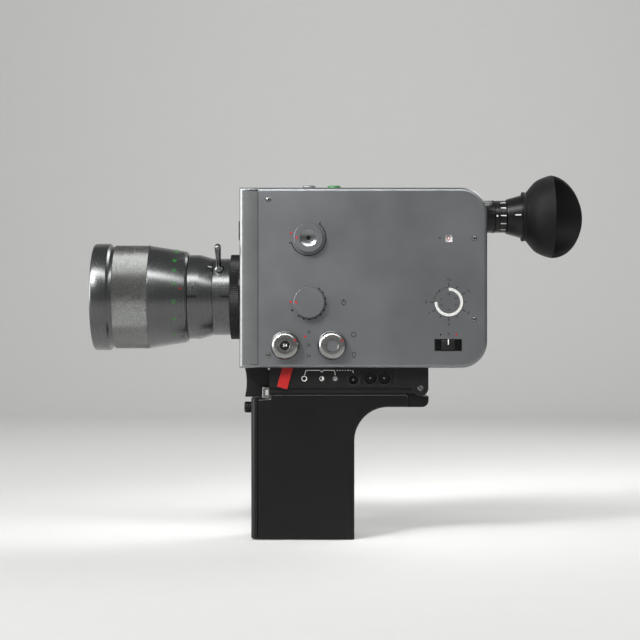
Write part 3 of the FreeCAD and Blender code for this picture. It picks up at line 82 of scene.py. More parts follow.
class Axis(Enum):
    """The frame's axes, as unit vectors."""

    X = (1.0, 0.0, 0.0)
    Y = (0.0, 1.0, 0.0)
    Z = (0.0, 0.0, 1.0)


class Kind(Enum):
    """What an edit-mode selection is made of."""

    VERTEX = "VERT"
    EDGE = "EDGE"
    FACE = "FACE"


def around(centre: Station, radius: float, angle: float) -> Station:
    """A point round a centre on a face, clockwise from twelve o'clock, in mm and degrees."""
    lean = math.radians(angle)
    return centre[0] + radius * math.sin(lean), centre[1] + radius * math.cos(lean)


def metres(point: Sequence[float]) -> Vector:
    """A point given in millimetres, as a vector in metres."""
    return Vector(point) * MM


def linear(tone: Tone) -> tuple[float, float, float, float]:
    """A display tone of 0 to 255 per channel, as a shader colour."""
    def channel(value: float) -> float:
        share = value / 255
        return share / 12.92 if share <= 0.04045 else ((share + 0.055) / 1.055) ** 2.4
    return (channel(tone[0]), channel(tone[1]), channel(tone[2]), 1.0)


# ---------------------------------------------------------------- bench: moves shared by all


def clear_selection() -> None:
    """Leaves edit mode and deselects every object."""
    if bpy.context.object and bpy.context.object.mode != "OBJECT":
        bpy.ops.object.mode_set(mode="OBJECT")
    bpy.ops.object.select_all(action="DESELECT")


def take(*pieces: bpy.types.Object) -> bpy.types.Object:
    """Selects only these objects, the first one active, and returns it."""
    clear_selection()
    for piece in pieces:
        piece.select_set(True)
    bpy.context.view_layer.objects.active = pieces[0]
    return pieces[0]


def edit() -> None:
    """Enters edit mode on the active object."""
    bpy.ops.object.mode_set(mode="EDIT")


def pick(test: Callable[[Vector, Vector], bool], kind: Kind = Kind.FACE) -> int:
    """Selects parts of the mesh being edited by their place and direction.

    Args:
        test: Takes a place in metres and a direction (a face's or vertex's normal, or an
            edge's run), and says whether that part is selected.
        kind: What is selected.

    Returns:
        How many parts are selected.
    """
    bpy.ops.mesh.select_mode(type=kind.value)
    bpy.ops.mesh.select_all(action="DESELECT")
    mesh = bmesh.from_edit_mesh(bpy.context.object.data)
    chosen = []
    if kind is Kind.FACE:
        chosen = [f for f in mesh.faces if test(f.calc_center_median(), f.normal)]
    elif kind is Kind.EDGE:
        for e in mesh.edges:
            start, end = e.verts[0].co, e.verts[1].co
            if test((start + end) / 2, (end - start).normalized()):
                chosen.append(e)
    else:
        chosen = [v for v in mesh.verts if test(v.co, v.normal)]
    for part in chosen:
        part.select_set(True)
    mesh.select_flush(True)
    bmesh.update_edit_mesh(bpy.context.object.data)
    return len(chosen)


def discard(*pieces: bpy.types.Object) -> None:
    """Deletes objects that were only steps on the way to a piece."""
    take(*pieces)
    bpy.ops.object.delete()


def named(name: str) -> bpy.types.Object:
    """Names the active object and its mesh, and returns it."""
    made = bpy.context.object
    made.name = name
    made.data.name = name
    return made


def settle(piece: bpy.types.Object) -> bpy.types.Object:
    """Moves a piece's place, turn and scale into its mesh, and returns it."""
    take(piece)
    bpy.ops.object.transform_apply(location=True, rotation=True, scale=True)
    return piece


def heal(piece: bpy.types.Object, reach: float = 0.001) -> bpy.types.Object:
    """Merges a piece's doubled points within reach (mm) and turns its faces outwards."""
    take(piece)
    edit()
    bpy.ops.mesh.select_all(action="SELECT")
    bpy.ops.mesh.remove_doubles(threshold=reach * MM)
    bpy.ops.mesh.normals_make_consistent(inside=False)
    clear_selection()
    return piece


def smooth(piece: bpy.types.Object, angle: float = SMOOTH_ANGLE) -> bpy.types.Object:
    """Shades a piece smooth except across edges sharper than angle."""
    take(piece)
    bpy.ops.object.shade_smooth_by_angle(angle=angle)
    return piece


def modify(piece: bpy.types.Object, kind: str, **settings: object) -> bpy.types.Object:
    """Adds one modifier with these settings and applies it at once."""
    take(piece)
    bpy.ops.object.modifier_add(type=kind)
    made = piece.modifiers[-1]
    for key, value in settings.items():
        setattr(made, key, value)
    bpy.ops.object.modifier_apply(modifier=made.name)
    return piece


def round_off(piece: bpy.types.Object, width: float, segments: int = 2,
              angle: float = 35.0) -> bpy.types.Object:
    """Rounds every edge sharper than angle (degrees) to about width (mm)."""
    return modify(piece, "BEVEL", width=width * MM, segments=segments, limit_method="ANGLE",
                  angle_limit=math.radians(angle), use_clamp_overlap=True,
                  miter_outer="MITER_ARC")


def block(name: str, low: Point, high: Point, edge: float = 0.0) -> bpy.types.Object:
    """A box between two corners (mm), with its edges rounded.

    Args:
        name: The piece's name.
        low: Its lowest corner.
        high: Its highest corner.
        edge: The round of its edges, or 0 for none.

    Returns:
        The new piece.
    """
    clear_selection()
    middle = (metres(low) + metres(high)) / 2
    bpy.ops.mesh.primitive_cube_add(size=1, location=middle, scale=metres(high) - metres(low))
    made = settle(named(name))
    return round_off(made, edge) if edge else made


def chain(name: str, points: Sequence[Point], closed: bool = False) -> bpy.types.Object:
    """A run of edges through points (mm), extruded one point at a time."""
    clear_selection()
    bpy.ops.mesh.primitive_plane_add(size=MM, location=metres(points[0]))
    made = settle(named(name))
    edit()
    bpy.ops.mesh.select_mode(type="VERT")
    bpy.ops.mesh.select_all(action="SELECT")
    bpy.ops.mesh.merge(type="CENTER")
    for start, end in zip(points, points[1:]):
        step = metres(end) - metres(start)
        bpy.ops.mesh.extrude_vertices_move(TRANSFORM_OT_translate={"value": step})
    if closed:
        first, last = metres(points[0]), metres(points[-1])
        pick(lambda place, _: min((place - first).length, (place - last).length) < 1e-7,
             Kind.VERTEX)
        bpy.ops.mesh.edge_face_add()
    return made


def lathe(name: str, stations: Sequence[Station], centre: Station, axis: Axis = Axis.X,
          steps: int = 96, closed: bool = True, sweep: float = 360.0, start: float = 0.0
          ) -> bpy.types.Object:
    """Turns a profile round an axis.

    Args:
        name: The piece's name.
        stations: (along the axis, radius) pairs in mm.
        centre: Where the axis lies in mm: (y, z) for X, (x, z) for Y and (x, y) for Z.
        axis: The axis of the turning.
        steps: How many faces go round a full turn.
        closed: Whether the last station joins the first.
        sweep: The angle turned through, in degrees by the right-hand rule.
        start: The angle at which it starts: from +Z about X and Y, and from +X about Z.

    Returns:
        The turned piece, closed at its ends, with its faces outwards.
    """
    lean, rise = math.sin(math.radians(start)), math.cos(math.radians(start))
    if axis is Axis.X:
        points = [(a, centre[0] - r * lean, centre[1] + r * rise) for a, r in stations]
        middle = (0.0, centre[0], centre[1])
    elif axis is Axis.Y:
        points = [(centre[0] + r * lean, a, centre[1] + r * rise) for a, r in stations]
        middle = (centre[0], 0.0, centre[1])
    else:
        points = [(centre[0] + r * rise, centre[1] + r * lean, a) for a, r in stations]
        middle = (centre[0], centre[1], 0.0)
    made = chain(name, points, closed)
    bpy.ops.mesh.select_all(action="SELECT")
    count = max(2, round(steps * sweep / 360))
    bpy.ops.mesh.spin(steps=count, angle=-math.radians(sweep), center=metres(middle),
                      axis=axis.value)
    if closed and sweep < 360:
        bpy.ops.mesh.select_all(action="SELECT")
        bpy.ops.mesh.remove_doubles(threshold=5e-7)
        bpy.ops.mesh.fill_holes(sides=len(stations))
    return heal(made, 0.0005)


def join(name: str, pieces: Sequence[bpy.types.Object]) -> bpy.types.Object:
    """Makes one object of several and returns it."""
    take(*pieces)
    if len(pieces) > 1:
        bpy.ops.object.join()
    return named(name)


def twin(piece: bpy.types.Object, name: str, shift: Point = (0.0, 0.0, 0.0),
         turn: float = 0.0, axis: Axis = Axis.X, centre: Point = (0.0, 0.0, 0.0)
         ) -> bpy.types.Object:
    """A copy of a piece with its own mesh, turned about an axis and then moved.

    Args:
        piece: What is copied.
        name: The copy's name.
        shift: How far it is moved, in mm.
        turn: How far it is turned, in degrees.
        axis: What it is turned about.
        centre: A point on that axis, in mm.

    Returns:
        The copy, with its place in its mesh.
    """
    take(piece)
    bpy.ops.object.duplicate(linked=False)
    made = named(name)
    middle = metres(centre)
    swing = Matrix.Translation(metres(shift) + middle) @ Matrix.Rotation(
        math.radians(turn), 4, Vector(axis.value)) @ Matrix.Translation(-middle)
    made.matrix_world = swing @ made.matrix_world
    return settle(made)


def crown(name: str, piece: bpy.types.Object, count: int, centre: Point) -> bpy.types.Object:
    """A piece and its copies, set evenly round an axis along X and made one object."""
    copies = [twin(piece, f"{name}_{index}", turn=index * 360 / count, centre=centre)
              for index in range(1, count)]
    return join(name, [piece] + copies)


def copy_of(node: str, name: str) -> bpy.types.Object:
    """A merged copy of a frame node, its nearly flat faces joined, that stands for the node, which
    is hidden.
    """
    source = frame["nodes"][node]
    take(source)
    bpy.ops.object.duplicate(linked=False)
    made = named(name)
    made.parent = None
    del made["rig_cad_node"], made["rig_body"]
    heal(made, 0.002)
    take(made)
    edit()
    bpy.ops.mesh.select_all(action="SELECT")
    bpy.ops.mesh.dissolve_limited(angle_limit=math.radians(0.4))
    clear_selection()
    made.data.materials.clear()
    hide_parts(node)
    return made


def even_out(piece: bpy.types.Object) -> bpy.types.Object:
    """Smooth shading that leaves large flat faces flat beside their rounded edges."""
    smooth(piece)
    return modify(piece, "WEIGHTED_NORMAL", mode="FACE_AREA", weight=80, keep_sharp=True)


@dataclass(frozen=True)
class Span:
    """The lowest and highest corner of a frame node, in mm."""

    low: Vector
    high: Vector

    @property
    def middle(self) -> Vector:
        """The middle of the box."""
        return (self.low + self.high) / 2


def span(node: str) -> Span:
    """Where a frame node lies at rest, in mm."""
    low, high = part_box(node)
    return Span(low / MM, high / MM)


def word(name: str, letters: str, size: float, origin: Point, right: Point, up: Point,
         depth: float = 0.05, thin: float = 0.0) -> bpy.types.Object:
    """Figures or letters that lie on a face, made a thin solid.

    Args:
        name: The piece's name.
        letters: What it says.
        size: The height of a capital, in mm.
        origin: The middle of the word, in mm.
        right: The way it reads.
        up: The way its tops point.
        depth: Its thickness, in mm, half of it under the face.
        thin: How much each side of a stroke is drawn in, in mm; below 0 it grows bolder.

    Returns:
        The word as a mesh.
    """
    clear_selection()
    bpy.ops.object.text_add()
    made = named(name)
    made.data.body = letters
    made.data.size = size * MM / CAPITAL_SHARE
    made.data.resolution_u = 3
    made.data.extrude = depth * MM / 2
    made.data.offset = -thin * MM
    made.data.align_x = made.data.align_y = "CENTER"
    take(made)
    bpy.ops.object.convert(target="MESH")
    made = named(name)
    side, top = Vector(right).normalized(), Vector(up).normalized()
    turn = Matrix((side, top, side.cross(top))).transposed().to_4x4()
    made.matrix_world = Matrix.Translation(metres(origin)) @ turn
    return heal(settle(made), 0.0002)


# ---------------------------------------------------------------- finishes


class Shader:
    """A material's node tree round one principled shader."""

    def __init__(self, name: str) -> None:
        """Starts an empty material of that name."""
        self.material = bpy.data.materials.new(name)
        self.material.use_nodes = True
        self.tree = self.material.node_tree
        self.surface = self.tree.nodes["Principled BSDF"]
        self.place = self.node("ShaderNodeTexCoord").outputs["Object"]

    def node(self, kind: str, **values: object) -> bpy.types.Node:
        """Adds a node; a value named like an input is set on it, any other on the node."""
        made = self.tree.nodes.new(kind)
        for key, value in values.items():
            if key in made.inputs:
                made.inputs[key].default_value = value
            else:
                setattr(made, key, value)
        return made

    def join(self, source: bpy.types.NodeSocket, target: bpy.types.NodeSocket) -> None:
        """Links one socket to another."""
        self.tree.links.new(source, target)

    def plain(self, **values: object) -> None:
        """Sets uniform values on the shader's own sockets, with _ for a space."""
        for key, value in values.items():
            self.surface.inputs[key.replace("_", " ")].default_value = value

    def noise(self, scale: float, detail: float = 3.0, stretch: Point = (1.0, 1.0, 1.0)
              ) -> bpy.types.NodeSocket:
        """Noise over the piece.

        Args:
            scale: Features per metre.
            detail: How many finer layers it has.
            stretch: How much tighter it runs along each axis.

        Returns:
            The noise's value socket.
        """
        mapping = self.node("ShaderNodeMapping", Scale=stretch)
        grain = self.node("ShaderNodeTexNoise", Scale=scale, Detail=detail, Roughness=0.55)
        self.join(self.place, mapping.inputs["Vector"])
        self.join(mapping.outputs["Vector"], grain.inputs["Vector"])
        return grain.outputs["Fac"]

    def spread(self, value: bpy.types.NodeSocket, low: float, high: float
               ) -> bpy.types.NodeSocket:
        """A noise value of about 0.3 to 0.7, spread over low to high."""
        ranged = self.node("ShaderNodeMapRange")
        for key, number in (("From Min", 0.3), ("From Max", 0.7), ("To Min", low),
                            ("To Max", high)):
            ranged.inputs[key].default_value = number
        self.join(value, ranged.inputs["Value"])
        return ranged.outputs["Result"]

    def polish(self, value: bpy.types.NodeSocket, low: float, high: float) -> None:
        """Varies the roughness between low and high by a noise value."""
        self.join(self.spread(value, low, high), self.surface.inputs["Roughness"])

    def tint(self, value: bpy.types.NodeSocket, dark: Tone, light: Tone) -> None:
        """Colours the surface between two tones by a noise value."""
        ramp = self.node("ShaderNodeValToRGB")
        ramp.color_ramp.elements[0].position = 0.3
        ramp.color_ramp.elements[1].position = 0.7
        ramp.color_ramp.elements[0].color = linear(dark)
        ramp.color_ramp.elements[1].color = linear(light)
        self.join(value, ramp.inputs["Fac"])
        self.join(ramp.outputs["Color"], self.surface.inputs["Base Color"])

    def relief(self, value: bpy.types.NodeSocket, height: float, strength: float = 1.0) -> None:
        """Raises the surface by a noise value, height in mm."""
        bump = self.node("ShaderNodeBump", Strength=strength, Distance=height * MM)
        self.join(value, bump.inputs["Height"])
        self.join(bump.outputs["Normal"], self.surface.inputs["Normal"])


def shade(tone: Tone, share: float) -> Tone:
    """A tone made darker or lighter by a share of itself."""
    return tuple(min(255, max(0, round(c * share))) for c in tone)


@dataclass(frozen=True)
class Finish:
    """One surface finish; each kind adds its own texture in texture()."""

    name: str
    tone: Tone
    rough: float

    def texture(self, shader: Shader) -> None:
        """Adds this finish's own grain."""
        shader.tint(shader.noise(600), shade(self.tone, 0.93), shade(self.tone, 1.07))

    def material(self) -> bpy.types.Material:
        """The finish as a material, made once."""
        label = f"{self.name}_finish"
        if label in bpy.data.materials:
            return bpy.data.materials[label]
        shader = Shader(label)
        shader.plain(Roughness=self.rough, Base_Color=linear(self.tone))
        self.texture(shader)
        return shader.material


@dataclass(frozen=True)
class Blasted(Finish):
    """Bead-blasted metal: a fine even grain, slightly mottled."""

    metal: float = 1.0
    grain: float = 2600.0
    height: float = 0.012
    mottle: float = 0.05

    def texture(self, shader: Shader) -> None:
        """Fine pits, with a broad faint mottle in tone and gloss."""
        shader.plain(Metallic=self.metal)
        fine = shader.noise(self.grain, 2.0)
        broad = shader.noise(22.0, 4.0)
        shader.tint(broad, shade(self.tone, 1 - self.mottle), shade(self.tone, 1 + self.mottle))
        blend = shader.node("ShaderNodeMath", operation="ADD")
        shader.join(shader.spread(fine, self.rough - 0.05, self.rough + 0.05),
                    blend.inputs[0])
        shader.join(shader.spread(broad, -0.02, 0.02), blend.inputs[1])
        shader.join(blend.outputs[0], shader.surface.inputs["Roughness"])
        shader.relief(fine, self.height)


@dataclass(frozen=True)
class Turned(Finish):
    """Metal turned on a lathe about the lens axis: fine rings that run round it."""

    metal: float = 1.0
    pitch: float = 5200.0
    height: float = 0.004
    gloss: float = 0.5

    def texture(self, shader: Shader) -> None:
        """Rings along X, with a little blasted grain between them."""
        shader.plain(Metallic=self.metal, Specular_IOR_Level=self.gloss)
        rings = shader.noise(self.pitch, 2.0, (1.0, 0.01, 0.01))
        grain = shader.noise(2400.0, 2.0)
        shader.tint(rings, shade(self.tone, 0.95), shade(self.tone, 1.05))
        shader.polish(grain, self.rough - 0.04, self.rough + 0.04)
        shader.relief(rings, self.height)


@dataclass(frozen=True)
class Faced(Finish):
    """Metal faced on a lathe about an axis that runs along Y: rings round its centre."""

    centre: Station = (0.0, 0.0)
    metal: float = 1.0
    pitch: float = 4200.0
    height: float = 0.003

    def texture(self, shader: Shader) -> None:
        """Rings by the distance from the centre."""
        shader.plain(Metallic=self.metal)
        shift = shader.node("ShaderNodeMapping", Scale=(1.0, 0.0, 1.0),
                            Location=(-self.centre[0] * MM, 0.0, -self.centre[1] * MM))
        out = shader.node("ShaderNodeVectorMath", operation="LENGTH")
        rings = shader.node("ShaderNodeTexNoise", noise_dimensions="1D", Scale=self.pitch,
                            Detail=2.0)
        shader.join(shader.place, shift.inputs["Vector"])
        shader.join(shift.outputs["Vector"], out.inputs[0])
        shader.join(out.outputs["Value"], rings.inputs["W"])
        value = rings.outputs["Fac"]
        shader.tint(value, shade(self.tone, 0.94), shade(self.tone, 1.06))
        shader.polish(value, self.rough - 0.05, self.rough + 0.05)
        shader.relief(value, self.height)


@dataclass(frozen=True)
class Moulded(Finish):
    """Plastic with the fine even grain of its mould."""

    grain: float = 1500.0
    height: float = 0.02
    gloss: float = 0.5

    def texture(self, shader: Shader) -> None:
        """Mould grain, and handling marks in the gloss."""
        shader.plain(Specular_IOR_Level=self.gloss)
        fine = shader.noise(self.grain, 3.0)
        broad = shader.noise(35.0, 4.0)
        shader.tint(fine, shade(self.tone, 0.88), shade(self.tone, 1.12))
        shader.polish(broad, self.rough - 0.05, self.rough + 0.06)
        shader.relief(fine, self.height)


@dataclass(frozen=True)
class Rubber(Finish):
    """Soft rubber: matt, with a powdery bloom."""

    bloom: float = 0.02

    def texture(self, shader: Shader) -> None:
        """A powdery skin and soft broad marks."""
        shader.plain(Sheen_Weight=self.bloom, Sheen_Roughness=0.5, Specular_IOR_Level=0.2)
        fine = shader.noise(1800.0, 3.0)
        broad = shader.noise(60.0, 3.0)
        shader.tint(broad, shade(self.tone, 0.85), shade(self.tone, 1.15))
        shader.polish(fine, self.rough - 0.06, self.rough + 0.06)
        shader.relief(fine, 0.03)


@dataclass(frozen=True)
class Glass(Finish):
    """Clear or coated glass."""

    coat: float = 0.0
    coat_tone: Tone = (255, 255, 255)

    def texture(self, shader: Shader) -> None:
        """Clear glass whose gloss varies a little, under a tinted coating."""
        shader.plain(Transmission_Weight=1.0, IOR=1.5, Coat_Weight=self.coat,
                     Coat_Tint=linear(self.coat_tone), Coat_Roughness=0.02)
        shader.polish(shader.noise(90.0, 4.0), self.rough * 0.6, self.rough * 1.6)


@dataclass(frozen=True)
class Pane(Finish):
    """A thin clear pane that lets light through to what lies close behind it."""

    def texture(self, shader: Shader) -> None:
        """Almost clear, with a little dust in its gloss."""
        shader.plain(Alpha=0.1, Specular_IOR_Level=0.6)
        shader.polish(shader.noise(90.0, 4.0), self.rough * 0.6, self.rough * 1.6)


@dataclass(frozen=True)
class Ink(Finish):
    """Printing ink, filled or screened on."""

    def texture(self, shader: Shader) -> None:
        """A slightly uneven lay-down."""
        laid = shader.noise(1200.0, 3.0)
        shader.plain(Specular_IOR_Level=0.2)
        shader.tint(laid, shade(self.tone, 0.86), shade(self.tone, 1.1))


BODY_SILVER = Blasted("body_silver", (128, 130, 132), 0.42)
CAP_SILVER = Blasted("cap_silver", (140, 142, 142), 0.40)
FRAME_CAST = Blasted("frame_cast", (116, 118, 120), 0.44, grain=1900.0, height=0.014)
LENS_SILVER = Turned("lens_silver", (98, 99, 99), 0.27)
KNURL_SILVER = Blasted("knurl_silver", (122, 123, 121), 0.26, grain=1800.0, height=0.004)
LENS_BLACK = Turned("lens_black", (11, 11, 12), 0.38, metal=0.0, gloss=0.3)
STEEL = Blasted("bright_steel", (150, 150, 148), 0.26, grain=3200.0, height=0.004)
LEVER_STEEL = Blasted("lever_steel", (116, 117, 118), 0.24, grain=2200.0, height=0.004)
# Matt black of blackened inner parts, also laid as painted shade in slots, seams, seats and a hole.
INNER_BLACK_AND_SHADE = Moulded("inner_black_and_shade", (9, 9, 10), 0.7, grain=900.0, gloss=0.15)
BLACK_PLASTIC = Moulded("black_plastic", (16, 16, 16), 0.42, grain=1700.0, height=0.010, gloss=0.35)
SOCKET_BLACK = Moulded("socket_black", (12, 12, 12), 0.30, grain=1700.0, height=0.006, gloss=0.35)
GRIP_BLACK = Moulded("grip_black", (11, 11, 11), 0.32, grain=1900.0, height=0.006, gloss=0.28)
EYE_BLACK = Turned("eye_black", (10, 10, 10), 0.34, metal=0.0, gloss=0.32)
CUP_RUBBER = Rubber("cup_rubber", (11, 11, 11), 0.6)
CLEAR_GLASS = Glass("clear_glass", (250, 250, 250), 0.03)
WINDOW_PANE = Pane("window_pane", (240, 242, 244), 0.05)
FRONT_GLASS = Glass("front_glass", (236, 240, 246), 0.02, coat=0.6, coat_tone=(150, 170, 235))
CELL_GLASS = Glass("cell_glass", (225, 230, 215), 0.03, coat=0.8, coat_tone=(235, 190, 140))
DISH_STEEL = Faced("dish_steel", (132, 134, 134), 0.24, height=0.002)
DOME_STEEL = Blasted("dome_steel", (152, 152, 150), 0.24, grain=3200.0, height=0.003)
RAIL_BLACK = Moulded("rail_black", (15, 15, 15), 0.34, grain=1900.0, height=0.006, gloss=0.35)
RED_TAB = Moulded("red_tab", (152, 28, 26), 0.40, grain=1400.0, height=0.012, gloss=0.3)
GREEN_BUTTON = Moulded("green_button", (34, 104, 50), 0.40)
GREY_BUTTON = Moulded("grey_button", (92, 94, 95), 0.40)
DIAL_WHITE = Moulded("dial_white", (236, 236, 232), 0.45, height=0.004)
BRASS = Faced("brass_gear", (196, 160, 92), 0.30, centre=(0.0, 147.7))
BOARD_GREEN = Moulded("board_green", (34, 88, 52), 0.45)
CELL_SLEEVE = Moulded("cell_sleeve", (158, 120, 52), 0.32, height=0.004)
# Painted highlight: a grey a little lighter than the black rail, laid where the edges of its
# mouldings catch the light.
RAIL_EDGE_HIGHLIGHT = Ink("rail_edge_highlight", (44, 45, 46), 0.4)
WHITE_INK = Ink("white_ink", (222, 222, 218), 0.5)
GREY_INK = Ink("grey_ink", (120, 122, 122), 0.5)
BAND_INK = Ink("band_ink", (194, 194, 190), 0.5)
BLACK_INK = Ink("black_ink", (9, 9, 10), 0.5)
PALE_BLACK_INK = Ink("worn_black_ink", (34, 35, 36), 0.5)
RED_INK = Ink("red_ink", (172, 12, 14), 0.5)
GREEN_INK = Ink("green_ink", (40, 146, 52), 0.5)


def finish_piece(piece: bpy.types.Object, finish: Finish, body: str,
                 soft: bool = True) -> bpy.types.Object:
    """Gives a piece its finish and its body.

    Args:
        piece: The piece, with its place in its mesh.
        finish: What its surface is.
        body: The frame body that it rides on.
        soft: Whether it is shaded smooth by angle first.

    Returns:
        The same piece.
    """
    if soft:
        smooth(piece)
    piece.data.materials.clear()
    piece.data.materials.append(finish.material())
    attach(piece, body)
    LOG.info("%s rides on %s", piece.name, body)
    return piece


# ---------------------------------------------------------------- zoom lens


@dataclass
class ZoomLens:
    """The lens: front ring, knurled focus ring, collar, zoom ring, macro ring and glass."""

    axis: Station = field(default_factory=lambda: (0.0, span("focus_ring").middle.z))
    steps: int = 128
    knurl_start: float = -114.9
    knurl_end: float = -93.8
    knurl_radius: float = 31.35
    knurl_rows: int = 15
    knurl_round: int = 140
    knurl_height: float = 0.42
    cone_end: float = -70.2
    ink_proud: float = 0.06

    def angle_at(self, height: float, radius: float) -> float:
        """The angle from the top, in degrees, of a height on the control side's half."""
        return 90 - math.degrees(math.asin((height - self.axis[1]) / radius))

    def spun(self, name: str, stations: Sequence[Station], finish: Finish, body: str,
             edge: float = 0.12) -> bpy.types.Object:
        """A turned piece of the lens with its edges broken, dressed."""
        made = lathe(name, stations, self.axis, steps=self.steps)
        if edge:
            round_off(made, edge, 2)
        return finish_piece(made, finish, body)

    def hub(self) -> Vector:
        """A point on the lens axis, in metres."""
        return metres((0, self.axis[0], self.axis[1]))

    def open_tube(self, name: str, sides: int, radius: float, start: float, length: float
                  ) -> bpy.types.Object:
        """A tube round the lens axis with no ends, left in edit mode."""
        clear_selection()
        middle = (start + length / 2, self.axis[0], self.axis[1])
        bpy.ops.mesh.primitive_cylinder_add(
            vertices=sides, radius=radius * MM, depth=length * MM, end_fill_type="NOTHING",
            location=metres(middle), rotation=(0, math.radians(90), 0))
        tube = settle(named(name))
        edit()
        return tube

    def fold_in(self, along: float, shares: Sequence[float]) -> None:
        """Folds a tube's rim inwards, once for each share of the radius that is left."""
        line = along * MM
        pick(lambda place, _run: abs(place.x - line) < 1e-6, Kind.EDGE)
        for share in shares:
            bpy.ops.mesh.extrude_edges_move(TRANSFORM_OT_translate={"value": (0, 0, 0)})
            bpy.ops.transform.resize(value=(1, share, share), center_override=self.hub())

    def build_knurl(self) -> None:
        """The diamond knurl: low grooves on both diagonals, with raised peaks between."""
        length = (self.knurl_end - self.knurl_start) / self.knurl_rows
        knurl = self.open_tube("focus_knurl", self.knurl_round, self.knurl_radius,
                               self.knurl_start, length)
        edge = (self.knurl_start + length) * MM
        pick(lambda place, run: abs(place.x - edge) < 1e-6 and abs(run.x) < 0.5, Kind.EDGE)
        for _ in range(self.knurl_rows - 1):
            bpy.ops.mesh.extrude_edges_move(
                TRANSFORM_OT_translate={"value": (length * MM, 0, 0)})
        bpy.ops.mesh.select_all(action="SELECT")
        bpy.ops.mesh.normals_make_consistent(inside=False)
        bpy.ops.mesh.select_mode(type="FACE")
        bpy.ops.mesh.select_all(action="SELECT")
        bpy.ops.mesh.poke()
        flat = 0.5 * length * MM
        pick(lambda place, run: abs(run.x) > 0.999
             or (abs(run.x) < 0.001
                 and abs((place.x - self.knurl_start * MM) / flat % 2 - 1) > 0.9), Kind.EDGE)
        bpy.ops.mesh.subdivide(number_cuts=1)
        bpy.ops.mesh.select_all(action="SELECT")
        bpy.ops.mesh.quads_convert_to_tris(quad_method="SHORTEST_DIAGONAL")
        grow = 1 + self.knurl_height / self.knurl_radius
        round_step = 360 / self.knurl_round

        def is_peak(place: Vector, _normal: Vector) -> bool:
            """Whether a point lies halfway along a row or column line."""
            row = (place.x / MM - self.knurl_start) / length
            turn = math.degrees(math.atan2(place.y, place.z - self.axis[1] * MM)) / round_step
            return abs(row % 1 - 0.5) < 0.2 and abs((turn + 0.25) % 1 - 0.25) < 0.2 or (
                abs((row + 0.25) % 1 - 0.25) < 0.2 and abs(turn % 1 - 0.5) < 0.2)

        pick(is_peak, Kind.VERTEX)
        bpy.ops.transform.resize(value=(1, grow, grow), center_override=self.hub())
        for rim in (self.knurl_start, self.knurl_end):
            self.fold_in(rim, (0.93,))
        clear_selection()
        heal(knurl, 0.0005)
        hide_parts("focus_ring")
        finish_piece(knurl, KNURL_SILVER, "focus", soft=False)

    def build_focus(self) -> None:
        """The cone behind the knurl and the ring in front of it."""
        start, end = self.knurl_end, self.cone_end
        self.spun("focus_cone", [
            (start, 28.2), (start, 31.2), (start + 0.35, 31.55), (end - 1.4, 28.0),
            (end - 0.7, 27.55), (end - 0.5, 27.1), (end, 26.9), (end, 21.6), (start, 21.6)],
            LENS_SILVER, "focus")
        thread = []
        for turn in range(6):
            thread += [(-127.6 + turn * 0.9, 31.25), (-127.15 + turn * 0.9, 30.9)]
        ring = self.spun("front_ring_body", [
            (-128.0, 31.5), (-127.9, 32.0), (-127.4, 32.5), (-126.6, 32.8), (-118.7, 32.8),
            (-118.1, 32.5), (-117.3, 31.5), (-116.7, 31.1), (-115.1, 31.0), (-115.0, 30.6),
            (-115.0, 28.0), (-111.4, 28.0), (-111.4, 26.0), (-115.0, 26.0), (-115.0, 28.5),
            (-122.0, 28.5), (-122.0, 31.0)] + thread[::-1] + [(-127.8, 31.2)],
            LENS_SILVER, "focus", 0.0)
        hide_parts("front_ring")
        self.spun("glass_retainer", [
            (-122.0, 30.9), (-124.4, 30.9), (-124.5, 30.7), (-124.5, 30.2), (-122.6, 28.3),
            (-122.6, 28.0), (-122.0, 28.0)], LENS_BLACK, "focus", 0.08)
        steps = [(-114.7, 27.8), (-114.2, 27.8), (-111.5, 25.9), (-111.5, 19.5), (-112.0, 19.5)]
        for step in range(5):
            along = -112.2 - step * 0.5
            steps += [(along, 20.6 + step * 1.4), (along - 0.3, 20.9 + step * 1.4)]
        self.spun("front_baffle", steps, INNER_BLACK_AND_SHADE, "focus", 0.0)

    def build_glass(self) -> None:
        """The coated front glass and the smaller cell behind it."""
        curve = [(-122.0 + 90.0 - math.sqrt(90.0 ** 2 - r ** 2), r)
                 for r in (0, 4, 8, 12, 16, 20, 24, 27, 28.35)]
        glass = self.spun("front_glass", curve + [(-115.0, 28.35), (-115.0, 0.0)],
                          FRONT_GLASS, "focus", 0.0)
        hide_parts("front_lens")
        cup = [(-104.0 + 0.012 * r ** 2, r) for r in (0, 4, 8, 12, 15, 17.4)]
        back = [(-97.0, 17.4), (-97.0, 0.0)]
        self.spun("second_glass", cup + back, CELL_GLASS, "camera_body", 0.0)
        self.spun("second_cell", [
            (-109.5, 18.4), (-109.5, 17.9), (-105.0, 17.0), (-99.6, 16.8), (-99.6, 17.5),
            (-96.4, 17.5), (-96.4, 18.4)], INNER_BLACK_AND_SHADE, "camera_body", 0.0)

    def build_barrel(self) -> None:
        """The barrel with its tapered collar, blackened inside, and the zoom ring."""
        barrel = self.spun("barrel_body", [
            (-111.2, 18.5), (-111.2, 21.4), (-70.0, 21.5), (-70.0, 25.7), (-69.8, 25.9),
            (-63.5, 25.9), (-62.9, 25.83), (-55.5, 23.72), (-54.95, 23.45), (-54.9, 21.5),
            (-35.0, 21.5), (-35.0, 25.0), (-33.0, 25.0), (-33.0, 18.5)],
            LENS_SILVER, "camera_body", 0.0)
        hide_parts("lens_barrel")
        barrel.data.materials.append(INNER_BLACK_AND_SHADE.material())
        take(barrel)
        edit()
        level = self.axis[1] * MM
        pick(lambda place, _: math.hypot(place.y, place.z - level) < 21.0 * MM)
        barrel.active_material_index = 1
        bpy.ops.object.material_slot_assign()
        clear_selection()
        zoom = self.spun("zoom_ring_body", [
            (-54.7, 21.6), (-54.7, 23.45), (-54.55, 23.6), (-44.45, 23.6), (-44.3, 23.45),
            (-44.3, 21.6)], LENS_SILVER, "zoom", 0.0)
        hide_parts("zoom_ring")

